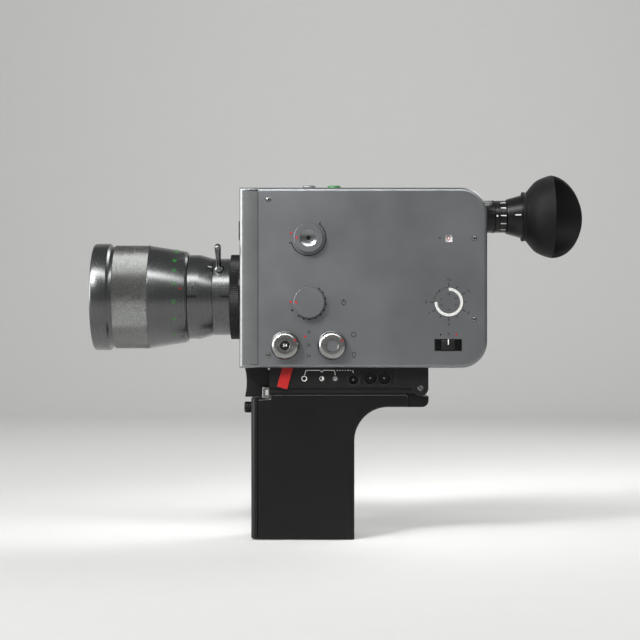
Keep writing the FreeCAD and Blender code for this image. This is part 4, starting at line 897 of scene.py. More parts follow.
    def build_lever(self) -> None:
        """The lever on the zoom ring: a pear-shaped foot and a slim pin with a round end."""
        lean = (-50.9, 0.0, self.axis[1])
        outline = ((22.0, 0.0), (22.0, 3.2), (24.6, 3.1), (25.6, 2.4), (26.6, 1.55),
                   (30.0, 1.4), (41.0, 1.9), (42.6, 1.85), (43.3, 1.4), (43.6, 0.0))
        pin = lathe("zoom_lever_body", [(self.axis[1] + rise, radius) for rise, radius in outline],
                    (lean[0], 0.0), Axis.Z, steps=40, closed=False)
        round_off(pin, 0.25, 2, 20)
        lever = twin(pin, "zoom_lever_pin", turn=45, axis=Axis.X, centre=lean)
        discard(pin)
        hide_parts("zoom_lever")
        finish_piece(lever, LEVER_STEEL, "zoom")

    def build_macro(self) -> None:
        """The black macro ring with fine ribs along it."""
        start, end, ribs = -44.1, -38.7, 264
        radius, valley, bore, chamfer = 26.0, 25.72, 21.7, 0.9855
        ring = self.open_tube("macro_ring_body", ribs, valley, start, end - start)
        for rim in (start, end):
            self.fold_in(rim, (chamfer, bore / (valley * chamfer)))
        turn, centre = 720 / ribs, self.hub()
        outer = (valley - 0.02) * MM

        def is_rib(place: Vector, _normal: Vector) -> bool:
            """Whether a point on the rim is one of every second."""
            out = math.hypot(place.y, place.z - centre.z)
            angle = math.degrees(math.atan2(place.y, place.z - centre.z)) / turn
            return out > outer and abs((angle + 0.25) % 1 - 0.25) < 0.2

        pick(is_rib, Kind.VERTEX)
        grow = radius / valley
        bpy.ops.transform.resize(value=(1, grow, grow), center_override=centre)
        clear_selection()
        heal(ring, 0.0005)
        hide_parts("macro_ring")
        finish_piece(ring, LENS_BLACK, "macro", soft=False)

    def mark_lines(self) -> None:
        """The black index lines along the side, and a white one on the zoom ring."""
        for name, start, end, radius, body in (
                ("collar_index", -69.6, -63.9, 25.9, "camera_body"),
                ("zoom_index", -49.6, -44.6, 23.6, "zoom")):
            wide = math.degrees(1.3 / radius)
            low, high = radius - 0.1, radius + self.ink_proud
            line = lathe(name, [(start, low), (start, high), (end, high), (end, low)],
                         self.axis, steps=720, sweep=wide, start=90 - wide / 2)
            finish_piece(line, BLACK_INK, body)
        wide = math.degrees(0.5 / 23.9)
        start = self.angle_at(self.axis[1] + 18.0, 23.9) - wide / 2
        line = lathe("zoom_tick", [(-55.3, 23.4), (-55.3, 23.95), (-57.6, 24.5), (-57.6, 24.0)],
                     self.axis, steps=1440, sweep=wide, start=start)
        finish_piece(line, WHITE_INK, "camera_body")

    def figure(self, name: str, letters: str, place: Station, size: float, ink: Finish,
               body: str, radius: float, slope: float = 0.0) -> None:
        """One figure on a turned face, its top towards the body.

        Args:
            name: The piece's name.
            letters: What it says.
            place: How far along the axis in mm, and its angle up from the side in degrees.
            size: The height of a capital, in mm.
            ink: What it is printed in.
            body: The body that it rides on.
            radius: The face's radius there, in mm.
            slope: How much the radius shrinks per mm towards the body.
        """
        along, lean = place[0], math.radians(place[1])
        reach = radius + 0.03
        out = Vector((slope, -math.cos(lean), math.sin(lean))).normalized()
        right = Vector((0, -math.sin(lean), -math.cos(lean)))
        origin = (along, -reach * math.cos(lean), self.axis[1] + reach * math.sin(lean))
        made = word(name, letters, size, origin, right, out.cross(right), 0.2, thin=0.05)
        finish_piece(made, ink, body)

    def mark_distances(self) -> None:
        """The distance figures round the cone, and one focal length on the zoom ring."""
        slope = (31.55 - 28.0) / (self.cone_end - 1.4 - self.knurl_end - 0.35)

        def on_cone(name: str, letters: str, place: Station, size: float, ink: Finish) -> None:
            """One figure on the cone."""
            radius = 31.55 - slope * (place[0] - self.knurl_end - 0.35)
            self.figure(name, letters, place, size, ink, "focus", radius, slope)

        feet = (("50", 70), ("30", 49), ("20", 33), ("15", 16), ("10", -6), ("8", -28),
                ("6", -52), ("5", -76), ("100", 92), ("4", 128))
        for letters, angle in feet:
            on_cone(f"feet_{letters}", letters, (-77.6, angle), 2.1, GREEN_INK)
        metre_marks = (("12", 68), ("8", 50), ("6", 31), ("3", -6), ("2.5", -24), ("2", -40),
                       ("1.5", -58))
        for letters, angle in metre_marks:
            on_cone(f"metres_{letters}", letters, (-73.4, angle), 1.7, PALE_BLACK_INK)
        on_cone("metres_4", "4", (-73.6, 9.8), 2.0, RED_INK)
        self.figure("focal_25", "25", (-50.2, 34.0), 2.1, BLACK_INK, "zoom", 23.6)

    def build(self) -> None:
        """Makes every piece of the lens."""
        self.build_knurl()
        self.build_focus()
        self.build_glass()
        self.build_barrel()
        self.build_lever()
        self.build_macro()
        self.mark_lines()
        self.mark_distances()


# ---------------------------------------------------------------- printing


@dataclass
class Printer:
    """Thin solids half sunk into a face that looks along -Y: screened print, and in places painted
    shade and painted highlight.
    """

    face: float = field(default_factory=lambda: span("control_cover").low.y)
    depth: float = 0.04

    def band(self, name: str, centre: Station, radius: float, width: float, start: float,
             sweep: float, ink: Finish, body: str = "camera_body", face: float | None = None,
             slot: str = "black_ribbed") -> bpy.types.Object:
        """A thin arc on the face, clockwise from twelve o'clock, in mm and degrees."""
        level = self.face if face is None else face
        low, high = radius - width / 2, radius + width / 2
        arc = lathe(name, [(level + self.depth, low), (level - self.depth, low),
                           (level - self.depth, high), (level + self.depth, high)],
                    centre, Axis.Y, steps=120, sweep=sweep, start=start)
        return finish_piece(arc, ink, body)

    def ring(self, name: str, centre: Station, radius: float, width: float, ink: Finish,
             body: str = "camera_body", face: float | None = None, slot: str = "black_ribbed"
             ) -> bpy.types.Object:
        """A thin ring on the face, its ends just short of meeting."""
        return self.band(name, centre, radius, width, 0, 359.9, ink, body, face, slot)

    def dot(self, name: str, centre: Station, radius: float, ink: Finish,
            body: str = "camera_body", face: float | None = None, slot: str = "black_ribbed"
            ) -> bpy.types.Object:
        """A printed dot."""
        # A thin dot on the face.
        level = self.face if face is None else face
        spot = lathe(name, [(level - self.depth, 0.0), (level - self.depth, radius),
                            (level + self.depth, radius), (level + self.depth, 0.0)],
                     centre, Axis.Y, steps=24, closed=False)
        return finish_piece(spot, ink, body)

    def bars(self, name: str, lines: Iterable[tuple[Station, Station, float]], ink: Finish,
             body: str = "camera_body", face: float | None = None, slot: str = "black_ribbed"
             ) -> bpy.types.Object:
        """Straight thin lines on the face as one piece.

        Args:
            name: The piece's name.
            lines: For each line its two ends as (x, z) and its width, in mm.
            ink: What it is laid in.
            body: The body that it rides on.
            face: The height of the face along Y, or the cover's own.
            slot: Not used.

        Returns:
            The dressed piece.
        """
        level = self.face if face is None else face
        made = []
        for index, (start, end, width) in enumerate(lines):
            run = Vector((end[0] - start[0], 0.0, end[1] - start[1]))
            middle = ((start[0] + end[0]) / 2, level, (start[1] + end[1]) / 2)
            half = run.length / 2
            flat = block(f"{name}_{index}", (middle[0] - half, level - self.depth,
                                             middle[2] - width / 2),
                         (middle[0] + half, level + self.depth, middle[2] + width / 2))
            angle = -math.degrees(math.atan2(run.z, run.x))
            turned = twin(flat, f"{name}_{index}_set", turn=angle, axis=Axis.Y, centre=middle)
            discard(flat)
            made.append(turned)
        return finish_piece(join(name, made), ink, body)

    def figure(self, name: str, letters: str, centre: Station, size: float, ink: Finish,
               body: str = "camera_body", face: float | None = None) -> bpy.types.Object:
        """Printed figures that read upright from the control side."""
        level = self.face if face is None else face
        made = word(name, letters, size, (centre[0], level, centre[1]), (1, 0, 0), (0, 0, 1),
                    2 * self.depth)
        return finish_piece(made, ink, body)

    def pointer(self, name: str, centre: Station, radius: float, angle: float, size: float,
                body: str, face: float, sunk: float = 0.06, tilt: float = 0.0
                ) -> bpy.types.Object:
        """A red triangle on a knob that points outwards.

        Args:
            name: The piece's name.
            centre: The knob's axis, as (x, z) in mm.
            radius: How far its middle lies from the axis.
            angle: Clockwise from twelve o'clock, in degrees.
            size: Its length in mm.
            body: The knob's body.
            face: The knob's face along Y.
            sunk: Half of its thickness.
            tilt: How far its tip leans back into the knob, in degrees.

        Returns:
            The dressed piece.
        """
        clear_selection()
        bpy.ops.mesh.primitive_cylinder_add(
            vertices=3, radius=size * 0.58 * MM, depth=2 * sunk * MM,
            rotation=(math.radians(90), 0, 0))
        arrow = settle(named(name))
        edit()
        bpy.ops.mesh.select_all(action="SELECT")
        bpy.ops.mesh.bevel(offset=0.06 * MM, segments=1, affect="VERTICES")
        clear_selection()
        low = min(arrow.data.vertices, key=lambda v: v.co.z).co.z
        high = max(arrow.data.vertices, key=lambda v: v.co.z).co.z
        flip = 180 if abs(low) > abs(high) else 0
        across, height = around(centre, radius, angle)
        upright = twin(arrow, f"{name}_upright", turn=flip, axis=Axis.Y)
        leaning = twin(upright, f"{name}_leaning", turn=-tilt, axis=Axis.X)
        turned = twin(leaning, f"{name}_set", shift=(across, face, height), turn=angle,
                      axis=Axis.Y)
        discard(arrow, upright, leaning)
        turned.name = turned.data.name = name
        return finish_piece(turned, RED_INK, body)


# ---------------------------------------------------------------- eyepiece


@dataclass
class Eyepiece:
    """The finder's eyepiece: ribbed tube, diopter ring, cone, glass and rubber cup."""

    axis: Station = field(default_factory=lambda: (0.0, span("diopter_ring").middle.z))
    tube_end: float = 117.8
    ring_start: float = 117.92
    ring_end: float = 124.9
    cone_start: float = 125.1
    cone_end: float = 134.4
    bead_end: float = 137.1
    rim: float = 152.9
    tip: float = 175.9
    mouth: float = 25.5
    wall: float = 1.8
    ribs: int = 30
    steps: int = 128

    def build_tube(self) -> None:
        """The fixed tube, ribbed along its length, over a smooth core."""
        start = span("eyepiece_tube").low.x
        tube = copy_of("eyepiece_tube", "eyepiece_tube_body")
        finish_piece(tube, EYE_BLACK, "camera_body")
        rib = block("tube_rib", (start + 8.6, -0.38, self.axis[1] + 9.7),
                    (self.tube_end - 0.3, 0.38, self.axis[1] + 10.1), 0.1)
        ribs = crown("tube_ribs", rib, self.ribs, (0.0, self.axis[0], self.axis[1]))
        finish_piece(ribs, EYE_BLACK, "camera_body")

    def build_ring(self) -> None:
        """The diopter ring with a shallow groove, the eyepiece cone and its glass."""
        start, end = self.ring_start, self.ring_end
        ring = lathe("diopter_ring_body", [
            (start, 8.1), (start, 9.6), (start + 0.25, 9.85), (start + 3.2, 9.85),
            (start + 3.35, 9.7), (start + 3.5, 9.85), (end - 0.2, 9.85), (end, 9.65),
            (end, 8.1)], self.axis)
        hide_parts("diopter_ring")
        finish_piece(ring, EYE_BLACK, "diopter")
        cone = lathe("eye_cone_body", [
            (self.cone_start, 8.0), (self.cone_start, 10.4), (self.cone_start + 0.2, 10.65),
            (self.cone_end - 0.6, 13.05), (self.cone_end - 0.1, 13.1), (self.cone_end, 13.3),
            (self.bead_end - 0.2, 13.3), (self.bead_end, 13.1), (self.bead_end, 11.6),
            (self.cone_end, 11.6), (self.cone_end, 8.0)], self.axis)
        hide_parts("eyepiece_cone")
        finish_piece(cone, EYE_BLACK, "camera_body")
        curve = [(self.cone_end + 2.2 - 0.012 * r ** 2, r) for r in (0, 2, 4, 6, 8, 10, 11.45)]
        glass = lathe("eye_glass", curve + [(self.cone_end, 11.45), (self.cone_end, 0.0)],
                      self.axis, closed=False)
        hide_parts("eyepiece_lens")
        finish_piece(glass, CELL_GLASS, "camera_body")

    def build_cup(self) -> None:
        """The rubber cup: a bell with a beaded neck, cut on a slant past its rim."""
        neck = self.bead_end - 2.2
        outer = [(neck, 15.15), (neck + 0.5, 15.3), (neck + 1.6, 15.0), (neck + 2.4, 14.9),
                 (neck + 3.2, 15.7), (neck + 4.4, 17.3), (neck + 5.9, 19.1),
                 (neck + 7.6, 21.0), (neck + 9.8, 22.6), (neck + 12.4, 23.8),
                 (neck + 15.2, 24.8), (self.rim, self.mouth)]
        flap = [(self.rim + (self.tip - self.rim) * share, self.mouth)
                for share in (0.2, 0.4, 0.6, 0.8, 1.0)]
        shell = outer + flap
        inner = [(along, out - self.wall) for along, out in shell if along > neck + 5.0]
        bore = [(self.bead_end + 2.0, 13.4), (neck, 13.4)]
        cup = lathe("eyecup_body", shell + inner[::-1] + bore, self.axis, steps=self.steps)
        take(cup)
        edit()
        rim = (self.rim + 0.05) * MM
        for index in range(self.steps):
            lean = index * 2 * math.pi / self.steps
            if math.sin(lean) <= 0:
                continue

            def in_column(place: Vector, _normal: Vector, lean: float = lean) -> bool:
                """Whether a point past the rim lies at this turn round the axis."""
                turn = math.atan2(place.y, place.z - self.axis[1] * MM)
                return place.x > rim and abs(turn - lean) < 0.01

            pick(in_column, Kind.VERTEX)
            bpy.ops.transform.resize(value=(math.sin(lean), 1, 1), center_override=(rim, 0, 0))
        pick(lambda place, _: place.x > rim and place.y < 1e-5, Kind.VERTEX)
        bpy.ops.transform.resize(value=(0, 1, 1), center_override=(rim, 0, 0))
        clear_selection()
        heal(cup, 0.01)
        modify(cup, "BEVEL", width=0.4 * MM, segments=3, limit_method="ANGLE",
               angle_limit=math.radians(50), use_clamp_overlap=True)
        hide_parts("eyecup")
        finish_piece(cup, CUP_RUBBER, "cup")

    def mark(self) -> None:
        """White dashes round the diopter ring, one on the cone and a small diamond."""
        for index, height in enumerate((205.4, 202.1, 197.4, 192.5, 188.9)):
            lean = math.degrees(math.asin((height - self.axis[1]) / 9.9))
            wide = math.degrees(0.62 / 9.9)
            dash = lathe(f"diopter_dash_{index}", [
                (121.2, 9.75), (121.2, 9.91), (124.6, 9.91), (124.6, 9.75)], self.axis,
                steps=720, sweep=wide, start=90 - lean - wide / 2)
            finish_piece(dash, WHITE_INK, "diopter")
        wide = math.degrees(0.7 / 12.5)
        dash = lathe("cone_dash", [(129.6, 11.72), (129.6, 11.9), (133.2, 12.98), (133.2, 12.8)],
                     self.axis, steps=720, sweep=wide, start=90 - 2 - wide / 2)
        finish_piece(dash, WHITE_INK, "camera_body")
        spot = block("diopter_spot", (118.5, -10.0, self.axis[1] - 0.5),
                     (119.5, -9.8, self.axis[1] + 0.5))
        diamond = twin(spot, "diopter_diamond", turn=45, axis=Axis.Y,
                       centre=(119.0, 0.0, self.axis[1]))
        discard(spot)
        finish_piece(diamond, WHITE_INK, "diopter")

    def build(self) -> None:
        """Makes every piece of the eyepiece."""
        self.build_tube()
        self.build_ring()
        self.build_cup()
        self.mark()


# ---------------------------------------------------------------- control side


@dataclass
class ControlSide(Printer):
    """The control cover with its screws, everything printed on it, and black marks painted as shade
    in its seam and round its screws.
    """

    def build_cover(self) -> None:
        """The cover, smooth over its rounded rim, the cap in front of it, and black strips painted
        as the shade in the gap of the seam between them.
        """
        for node, finish in (("control_cover", BODY_SILVER), ("front_cap", CAP_SILVER),
                             ("film_door", BODY_SILVER)):
            body = "door" if node == "film_door" else "camera_body"
            shell = even_out(copy_of(node, f"{node}_shell"))
            finish_piece(shell, finish, body, soft=False)
        seam, half, wide = span("front_cap").high.x, -self.face, 0.17
        low, high = span("front_cap").low.z, span("front_cap").high.z
        inset = 2.2
        # Painted shade: thin black strips along the seam behind the cap, where its gap is in shade.
        shade_strips = [
            block("seam_shade_near", (seam - wide, -half - 0.02, low + inset),
                  (seam + wide, -half + 0.1, high - inset)),
            block("seam_shade_top", (seam - wide, -half + inset, high - 0.1),
                  (seam + wide, half - inset, high + 0.02)),
            block("seam_shade_under", (seam - wide, -half + inset, low - 0.02),
                  (seam + wide, half - inset, low + 0.1))]
        finish_piece(join("cap_seam_shade", shade_strips), INNER_BLACK_AND_SHADE, "camera_body")

    def build_screws(self) -> None:
        """Four cheese-head screws, each with black bars painted as the shade in its cross-slot and
        a black ring painted as the shade in its seat.
        """
        fronts = self.face - 0.05
        head = [(fronts, 0.0), (fronts, 1.2), (fronts + 0.12, 1.4), (fronts + 0.75, 1.4),
                (fronts + 0.75, 0.0)]
        places = ((-20.6, 112.2), (-20.6, 205.9), (103.3, 133.9), (103.3, 182.6))
        back = span("cover_screws").high.y
        shanks = []
        for index, place in enumerate(places):
            screw = lathe(f"cover_screw_{index}", head, place, Axis.Y, steps=32, closed=False)
            finish_piece(screw, STEEL, "camera_body")
            angle = 28 + 47 * index
            # Painted shade: two black bars on the flat head stand for the shade in its cross-slot.
            slots = [(around(place, -0.95, turn), around(place, 0.95, turn), 0.34)
                     for turn in (90 - angle, -angle)]
            self.bars(f"screw_slot_{index}", slots, INNER_BLACK_AND_SHADE, face=fronts - 0.02,
                      slot="bright_steel")
            # Painted shade: a black ring round the head stands for the shade in its seat.
            self.ring(f"screw_seat_{index}", place, 1.5, 0.18, INNER_BLACK_AND_SHADE)
            shanks.append(lathe(f"screw_shank_{index}", [
                (fronts + 0.5, 0.0), (fronts + 0.5, 0.8), (back - 0.3, 0.8), (back, 0.5),
                (back, 0.0)], place, Axis.Y, steps=20, closed=False))
        shank = join("screw_shanks", shanks)
        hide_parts("cover_screws")
        finish_piece(shank, STEEL, "camera_body")

    def print_aperture(self, centre: Station) -> None:
        """Round the aperture knob: a long arc with a tick at each end, and a red dot."""
        self.dot("aperture_dot", (-7.0, 185.8), 0.62, RED_INK, slot="red_tab")
        wide = 0.55
        self.band("aperture_arc", centre, 10.6, wide, 38, 217, BLACK_INK)
        lines = []
        for angle, reach in ((38, 12.0), (255, 12.1)):
            lines.append((around(centre, 10.5, angle), around(centre, reach, angle), wide))
        self.bars("aperture_ticks", lines, BLACK_INK)

    def print_timer(self, centre: Station) -> None:
        """Round the timer knob: a beaded arc, a red dot and a black dot."""
        self.dot("timer_dot", (-7.2, 144.5), 0.62, RED_INK, slot="red_tab")
        self.dot("timer_bead", (-6.2, 139.4), 0.68, BLACK_INK)
        self.band("timer_arc", centre, 10.0, 0.36, 35, 183, BLACK_INK)
        for index in range(10):
            place = around(centre, 10.3, 35 + index * 183 / 9)
            self.dot(f"timer_tick_{index}", place, 0.5, BLACK_INK)
        across, height = 24.75, 144.1
        self.ring("clock_ring", (across, height), 1.25, 0.3, BLACK_INK)
        self.bars("clock_ticks", [
            ((across, height + start), (across, height + end), width)
            for start, end, width in ((0.0, 1.1, 0.28), (1.1, 1.9, 0.5), (-2.0, -1.2, 0.5))],
            BLACK_INK)

    def print_speeds(self) -> None:
        """The running speeds between the two lower knobs, and the two filter signs."""
        for letters, height in (("18", 126.2), ("24", 118.3), ("54", 111.7)):
            self.figure(f"speed_{letters}", letters, (3.5, height), 1.9, PALE_BLACK_INK)
        self.dot("speed_dot", (1.5, 123.5), 0.62, RED_INK, slot="red_tab")
        sun = (30.7, 124.7)
        self.ring("sun_ring", sun, 1.25, 0.3, PALE_BLACK_INK)
        self.bars("sun_rays", [(around(sun, 1.5, angle), around(sun, 1.95, angle), 0.25)
                               for angle in range(0, 360, 45)], PALE_BLACK_INK)
        self.band("bulb_ring", (30.9, 112.9), 1.15, 0.3, 215, 290, PALE_BLACK_INK)
        self.bars("bulb_foot", [((30.3, 111.9), (30.3, 110.9), 0.28),
                                ((31.5, 111.9), (31.5, 110.9), 0.28),
                                ((30.2, 110.8), (31.6, 110.8), 0.32)], PALE_BLACK_INK)

    def print_gauge(self, centre: Station) -> None:
        """Round the film gauge: ticks over three quarters of a turn and their figures."""
        ticks = []
        for index in range(10):
            reach = 11.4 if index % 2 == 0 or index == 9 else 10.8
            ticks.append((around(centre, 9.4, index * 30), around(centre, reach, index * 30),
                          0.42))
        self.bars("gauge_ticks", ticks, BLACK_INK)
        for letters, angle in (("15", 0), ("12", 60), ("9", 120), ("6", 180), ("3", 240),
                               ("0", 270)):
            lean = math.radians(angle)
            place = (centre[0] + 13.6 * math.sin(lean), centre[1] + 13.4 * math.cos(lean))
            self.figure(f"gauge_{letters}", letters, place, 1.7, PALE_BLACK_INK)
        self.bars("gauge_start", [((centre[0] - 5.9, centre[1] + 6.9),
                                   (centre[0] - 5.3, centre[1] + 6.9), 0.9)], BLACK_INK)

    def print_switch(self) -> None:
        """Above the slide switch, off between a black and a red running position."""
        self.dot("switch_dot_black", (83.1, 124.7), 0.55, BLACK_INK)
        self.figure("switch_off", "0", (88.0, 125.0), 1.7, PALE_BLACK_INK)
        self.dot("switch_dot_red", (92.5, 124.7), 0.55, RED_INK, slot="red_tab")
        self.bars("counter_mark", [((82.3, 182.8), (82.75, 182.8), 1.0),
                                   ((82.75, 182.8), (83.1, 182.8), 0.5)], BLACK_INK)

    def build(self) -> None:
        """Makes the cover, the screws and the printing."""
        self.build_cover()
        self.build_screws()
        aperture, timer = span("aperture_knob").middle, span("timer_knob").middle
        gauge = span("gauge_dial").middle
        self.print_aperture((aperture.x, aperture.z))
        self.print_timer((timer.x, timer.z))
        self.print_speeds()
        self.print_gauge((gauge.x, gauge.z))
        self.print_switch()


# ---------------------------------------------------------------- knobs


@dataclass
class Knobs(Printer):
    """The four knobs of the control side: aperture, timer, running speed and filter."""

    back: float = -27.2
    dome: float = -33.5
    rim: float = -30.4
    flat: float = 5.4

    def turn_knob(self, node: str, outline: Sequence[Station], finish: Finish, body: str,
                  slot: str) -> Station:
        """Turns a knob on its own shaft.

        Args:
            node: The frame node that it stands for.
            outline: Its (y, radius) stations from the back of its skirt to its face.
            finish: What its surface is.
            body: The body that it rides on.
            slot: Not used.

        Returns:
            Where its axis lies, as (x, z) in mm.
        """
        place = span(node)
        centre = (place.middle.x, place.middle.z)
        shaft = [(place.high.y, 0.0), (place.high.y, 2.0), (self.back, 2.0)]
        knob = lathe(f"{node}_body", shaft + list(outline), centre, Axis.Y, closed=False)
        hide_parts(node)
        finish_piece(knob, finish, body)
        return centre

    def build_aperture(self) -> None:
        """A flat ring round a dished centre, with a black disc painted as the shade on the floor of
        its centre hole.
        """
        face, floor, dish, eye = -31.2, -29.7, 5.2, 1.4
        outline = [(self.back, 8.45), (self.back - 0.25, 8.7), (face + 0.22, 8.7),
                   (face, 8.48), (face, dish + 0.12), (face + 0.12, dish), (floor, dish),
                   (floor, 0.0)]
        centre = self.turn_knob("aperture_knob", outline, BODY_SILVER, "aperture", "knob_silver")
        bowl = [(face + 0.12 + 1.25 * (1 - (radius / dish) ** 2), radius)
                for radius in (5.15, 4.6, 3.9, 3.1, 2.3, eye)]
        dished = lathe("aperture_dish", bowl + [(floor, eye), (floor, 5.15)], centre, Axis.Y)
        finish_piece(dished, replace(DISH_STEEL, centre=centre), "aperture")
        # Painted shade: a black disc on the floor of the centre hole, where it lies in shade.
        self.dot("aperture_eye", centre, eye, INNER_BLACK_AND_SHADE, "aperture", floor - 0.06,
                 "black_plastic")
        self.pointer("aperture_pointer", centre, 6.9, 270, 1.7, "aperture", face)

    def build_timer(self) -> None:
        """A plain flat disc with a bright chamfer."""
        face = -31.2
        outline = [(self.back, 8.95), (self.back - 0.25, 9.2), (face + 0.3, 9.2),
                   (face, 8.9), (face, 0.0)]
        centre = self.turn_knob("timer_knob", outline, BODY_SILVER, "timer", "silver_cover")
        self.ring("timer_edge", centre, 9.02, 0.2, STEEL, "timer", face + 0.12,
                  "bright_steel")
        self.pointer("timer_pointer", centre, 7.6, 270, 1.7, "timer", face)

    def dome_outline(self, radius: float) -> list[Station]:
        """A domed knob's (y, radius) stations from its skirt up to its flat."""
        drop = self.rim - self.dome
        crown = [(self.dome + drop * (1 - math.cos(math.radians(angle))),
                  self.flat + (radius - 0.25 - self.flat) * math.sin(math.radians(angle)))
                 for angle in (75, 60, 45, 30, 15)]
        return [(self.back, radius - 0.25), (self.back - 0.25, radius), (self.rim, radius),
                (self.rim - 0.2, radius - 0.1)] + crown + [(self.dome, self.flat)]

    def build_speed(self) -> None:
        """A bright dome round the black slow-motion button, with a turned ring in its flat."""
        bore, floor = 2.95, self.dome + 4.2
        flat = [(self.dome, 4.55), (self.dome + 0.14, 4.4), (self.dome, 4.25),
                (self.dome, bore + 0.25), (self.dome + 0.25, bore), (floor, bore), (floor, 0.0)]
        centre = self.turn_knob("speed_knob", self.dome_outline(8.7) + flat, DOME_STEEL,
                                "speed", "knob_silver")
        old = span("slow_motion_button")
        front = old.low.y
        button = lathe("slow_motion_button_body", [
            (old.high.y, 0.0), (old.high.y, 2.9), (front + 0.4, 2.9), (front + 0.12, 2.78),
            (front, 2.5), (front, 0.0)], centre, Axis.Y, closed=False)
        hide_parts("slow_motion_button")
        finish_piece(button, SOCKET_BLACK, "slow_button")
        self.figure("slow_motion_figure", "54", centre, 1.75, WHITE_INK, "slow_button", front)
        self.pointer("speed_pointer", centre, 6.75, 63, 1.6, "speed", -33.24, tilt=26)

    def build_filter(self) -> None:
        """A bright dome with a sunk grey disc in its flat."""
        bore = 3.7
        floor = self.dome + 1.0
        flat = [(self.dome, bore + 0.2), (self.dome + 0.2, bore), (floor, bore), (floor, 0.0)]
        centre = self.turn_knob("filter_knob", self.dome_outline(8.8) + flat, DOME_STEEL,
                                "filter", "knob_silver")
        disc = lathe("filter_disc", [(floor - 0.1, 0.0), (floor - 0.1, 3.45),
                                     (floor, 3.6), (floor + 0.1, 3.6), (floor + 0.1, 0.0)],
                     centre, Axis.Y, steps=64, closed=False)
        finish_piece(disc, BODY_SILVER, "filter")
        self.pointer("filter_pointer", centre, 6.75, 63, 1.6, "filter", -33.24, tilt=26)

    def build(self) -> None:
        """Makes the four knobs."""
        self.build_aperture()
        self.build_timer()
        self.build_speed()
        self.build_filter()


@dataclass
class Dials(Printer):
    """The frame counter, the film gauge, the slide switch and the two zoom buttons."""

    count_radius: float = 6.4
    count_height: float = 3.1
    count_thin: float = -0.07

    def print_counter(self) -> None:
        """Red figures round the counter's disc, one of them behind the window."""
        disc = span("counter_disc")
        hub, level = disc.middle, disc.low.y
        place = (hub.x + self.count_radius, level, hub.z)
        figures = []
        for index in range(10):
            upright = word("counter_figure", str(index), self.count_height, place, (1, 0, 0),
                           (0, 0, 1), 0.08, thin=self.count_thin)
            figures.append(twin(upright, f"counter_figure_{index}", turn=index * 36, axis=Axis.Y,
                                centre=(hub.x, 0.0, hub.z)))
            discard(upright)
        finish_piece(join("counter_figures", figures), RED_INK, "counter")

    def print_gauge(self) -> None:
        """A white band over three quarters of the gauge's dial, and small figures in it."""
        dial = span("gauge_dial")
        centre, level = (dial.middle.x, dial.middle.z), dial.low.y
        self.band("gauge_band", centre, 7.75, 1.7, 0, 270, BAND_INK, "gauge", level,
                  "dial_white")
        for letters, angle in (("50", 0), ("40", 62), ("30", 115), ("20", 180), ("10", 245),
                               ("0", 290)):
            lean = math.radians(angle)
            place = (centre[0] + 4.9 * math.sin(lean), centre[1] + 4.8 * math.cos(lean))
            self.figure(f"gauge_small_{letters}", letters, place, 1.25, PALE_BLACK_INK, "gauge",
                        level)

    def build_switch(self) -> None:
        """The slide switch: a softly edged slider with a white line."""
        slider = round_off(copy_of("slide_switch", "slide_switch_body"), 0.25)
        finish_piece(slider, BLACK_PLASTIC, "switch")
        box = span("slide_switch")
        middle, top = box.middle.x, box.middle.z + 3.5
        self.bars("switch_line", [((middle, top), (middle, top - 3.3), 0.55)], WHITE_INK,
                  "switch", box.low.y, "black_plastic")
        plate = copy_of("switch_plate", "switch_plate_body")
        finish_piece(plate, SOCKET_BLACK, "camera_body")

    def build_buttons(self) -> None:
        """The two zoom buttons, turned with a soft rim and a shallow finger dish."""
        for node, finish, body, slot in (
                ("zoom_button_wide", GREY_BUTTON, "wide_button", "grey_button"),
                ("zoom_button_tele", GREEN_BUTTON, "tele_button", "green_button")):
            box = span(node)
            top, under = box.high.z, span("body_frame").high.z
            button = lathe(f"{node}_body", [
                (box.low.z, 0.0), (box.low.z, 2.0), (under - 4.8, 2.0), (under - 4.8, 4.9),
                (under - 3.7, 4.9), (under - 3.7, 4.0), (top - 0.7, 4.0), (top - 0.2, 3.8),
                (top, 3.3), (top - 0.1, 2.6), (top - 0.3, 0.0)],
                (box.middle.x, box.middle.y), Axis.Z, steps=48, closed=False)
            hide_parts(node)
            finish_piece(button, finish, body)

    def build(self) -> None:
        """Makes the dials, the switch and the buttons."""
        self.print_counter()
        self.print_gauge()
        self.build_switch()
        self.build_buttons()


# ---------------------------------------------------------------- rail and grip


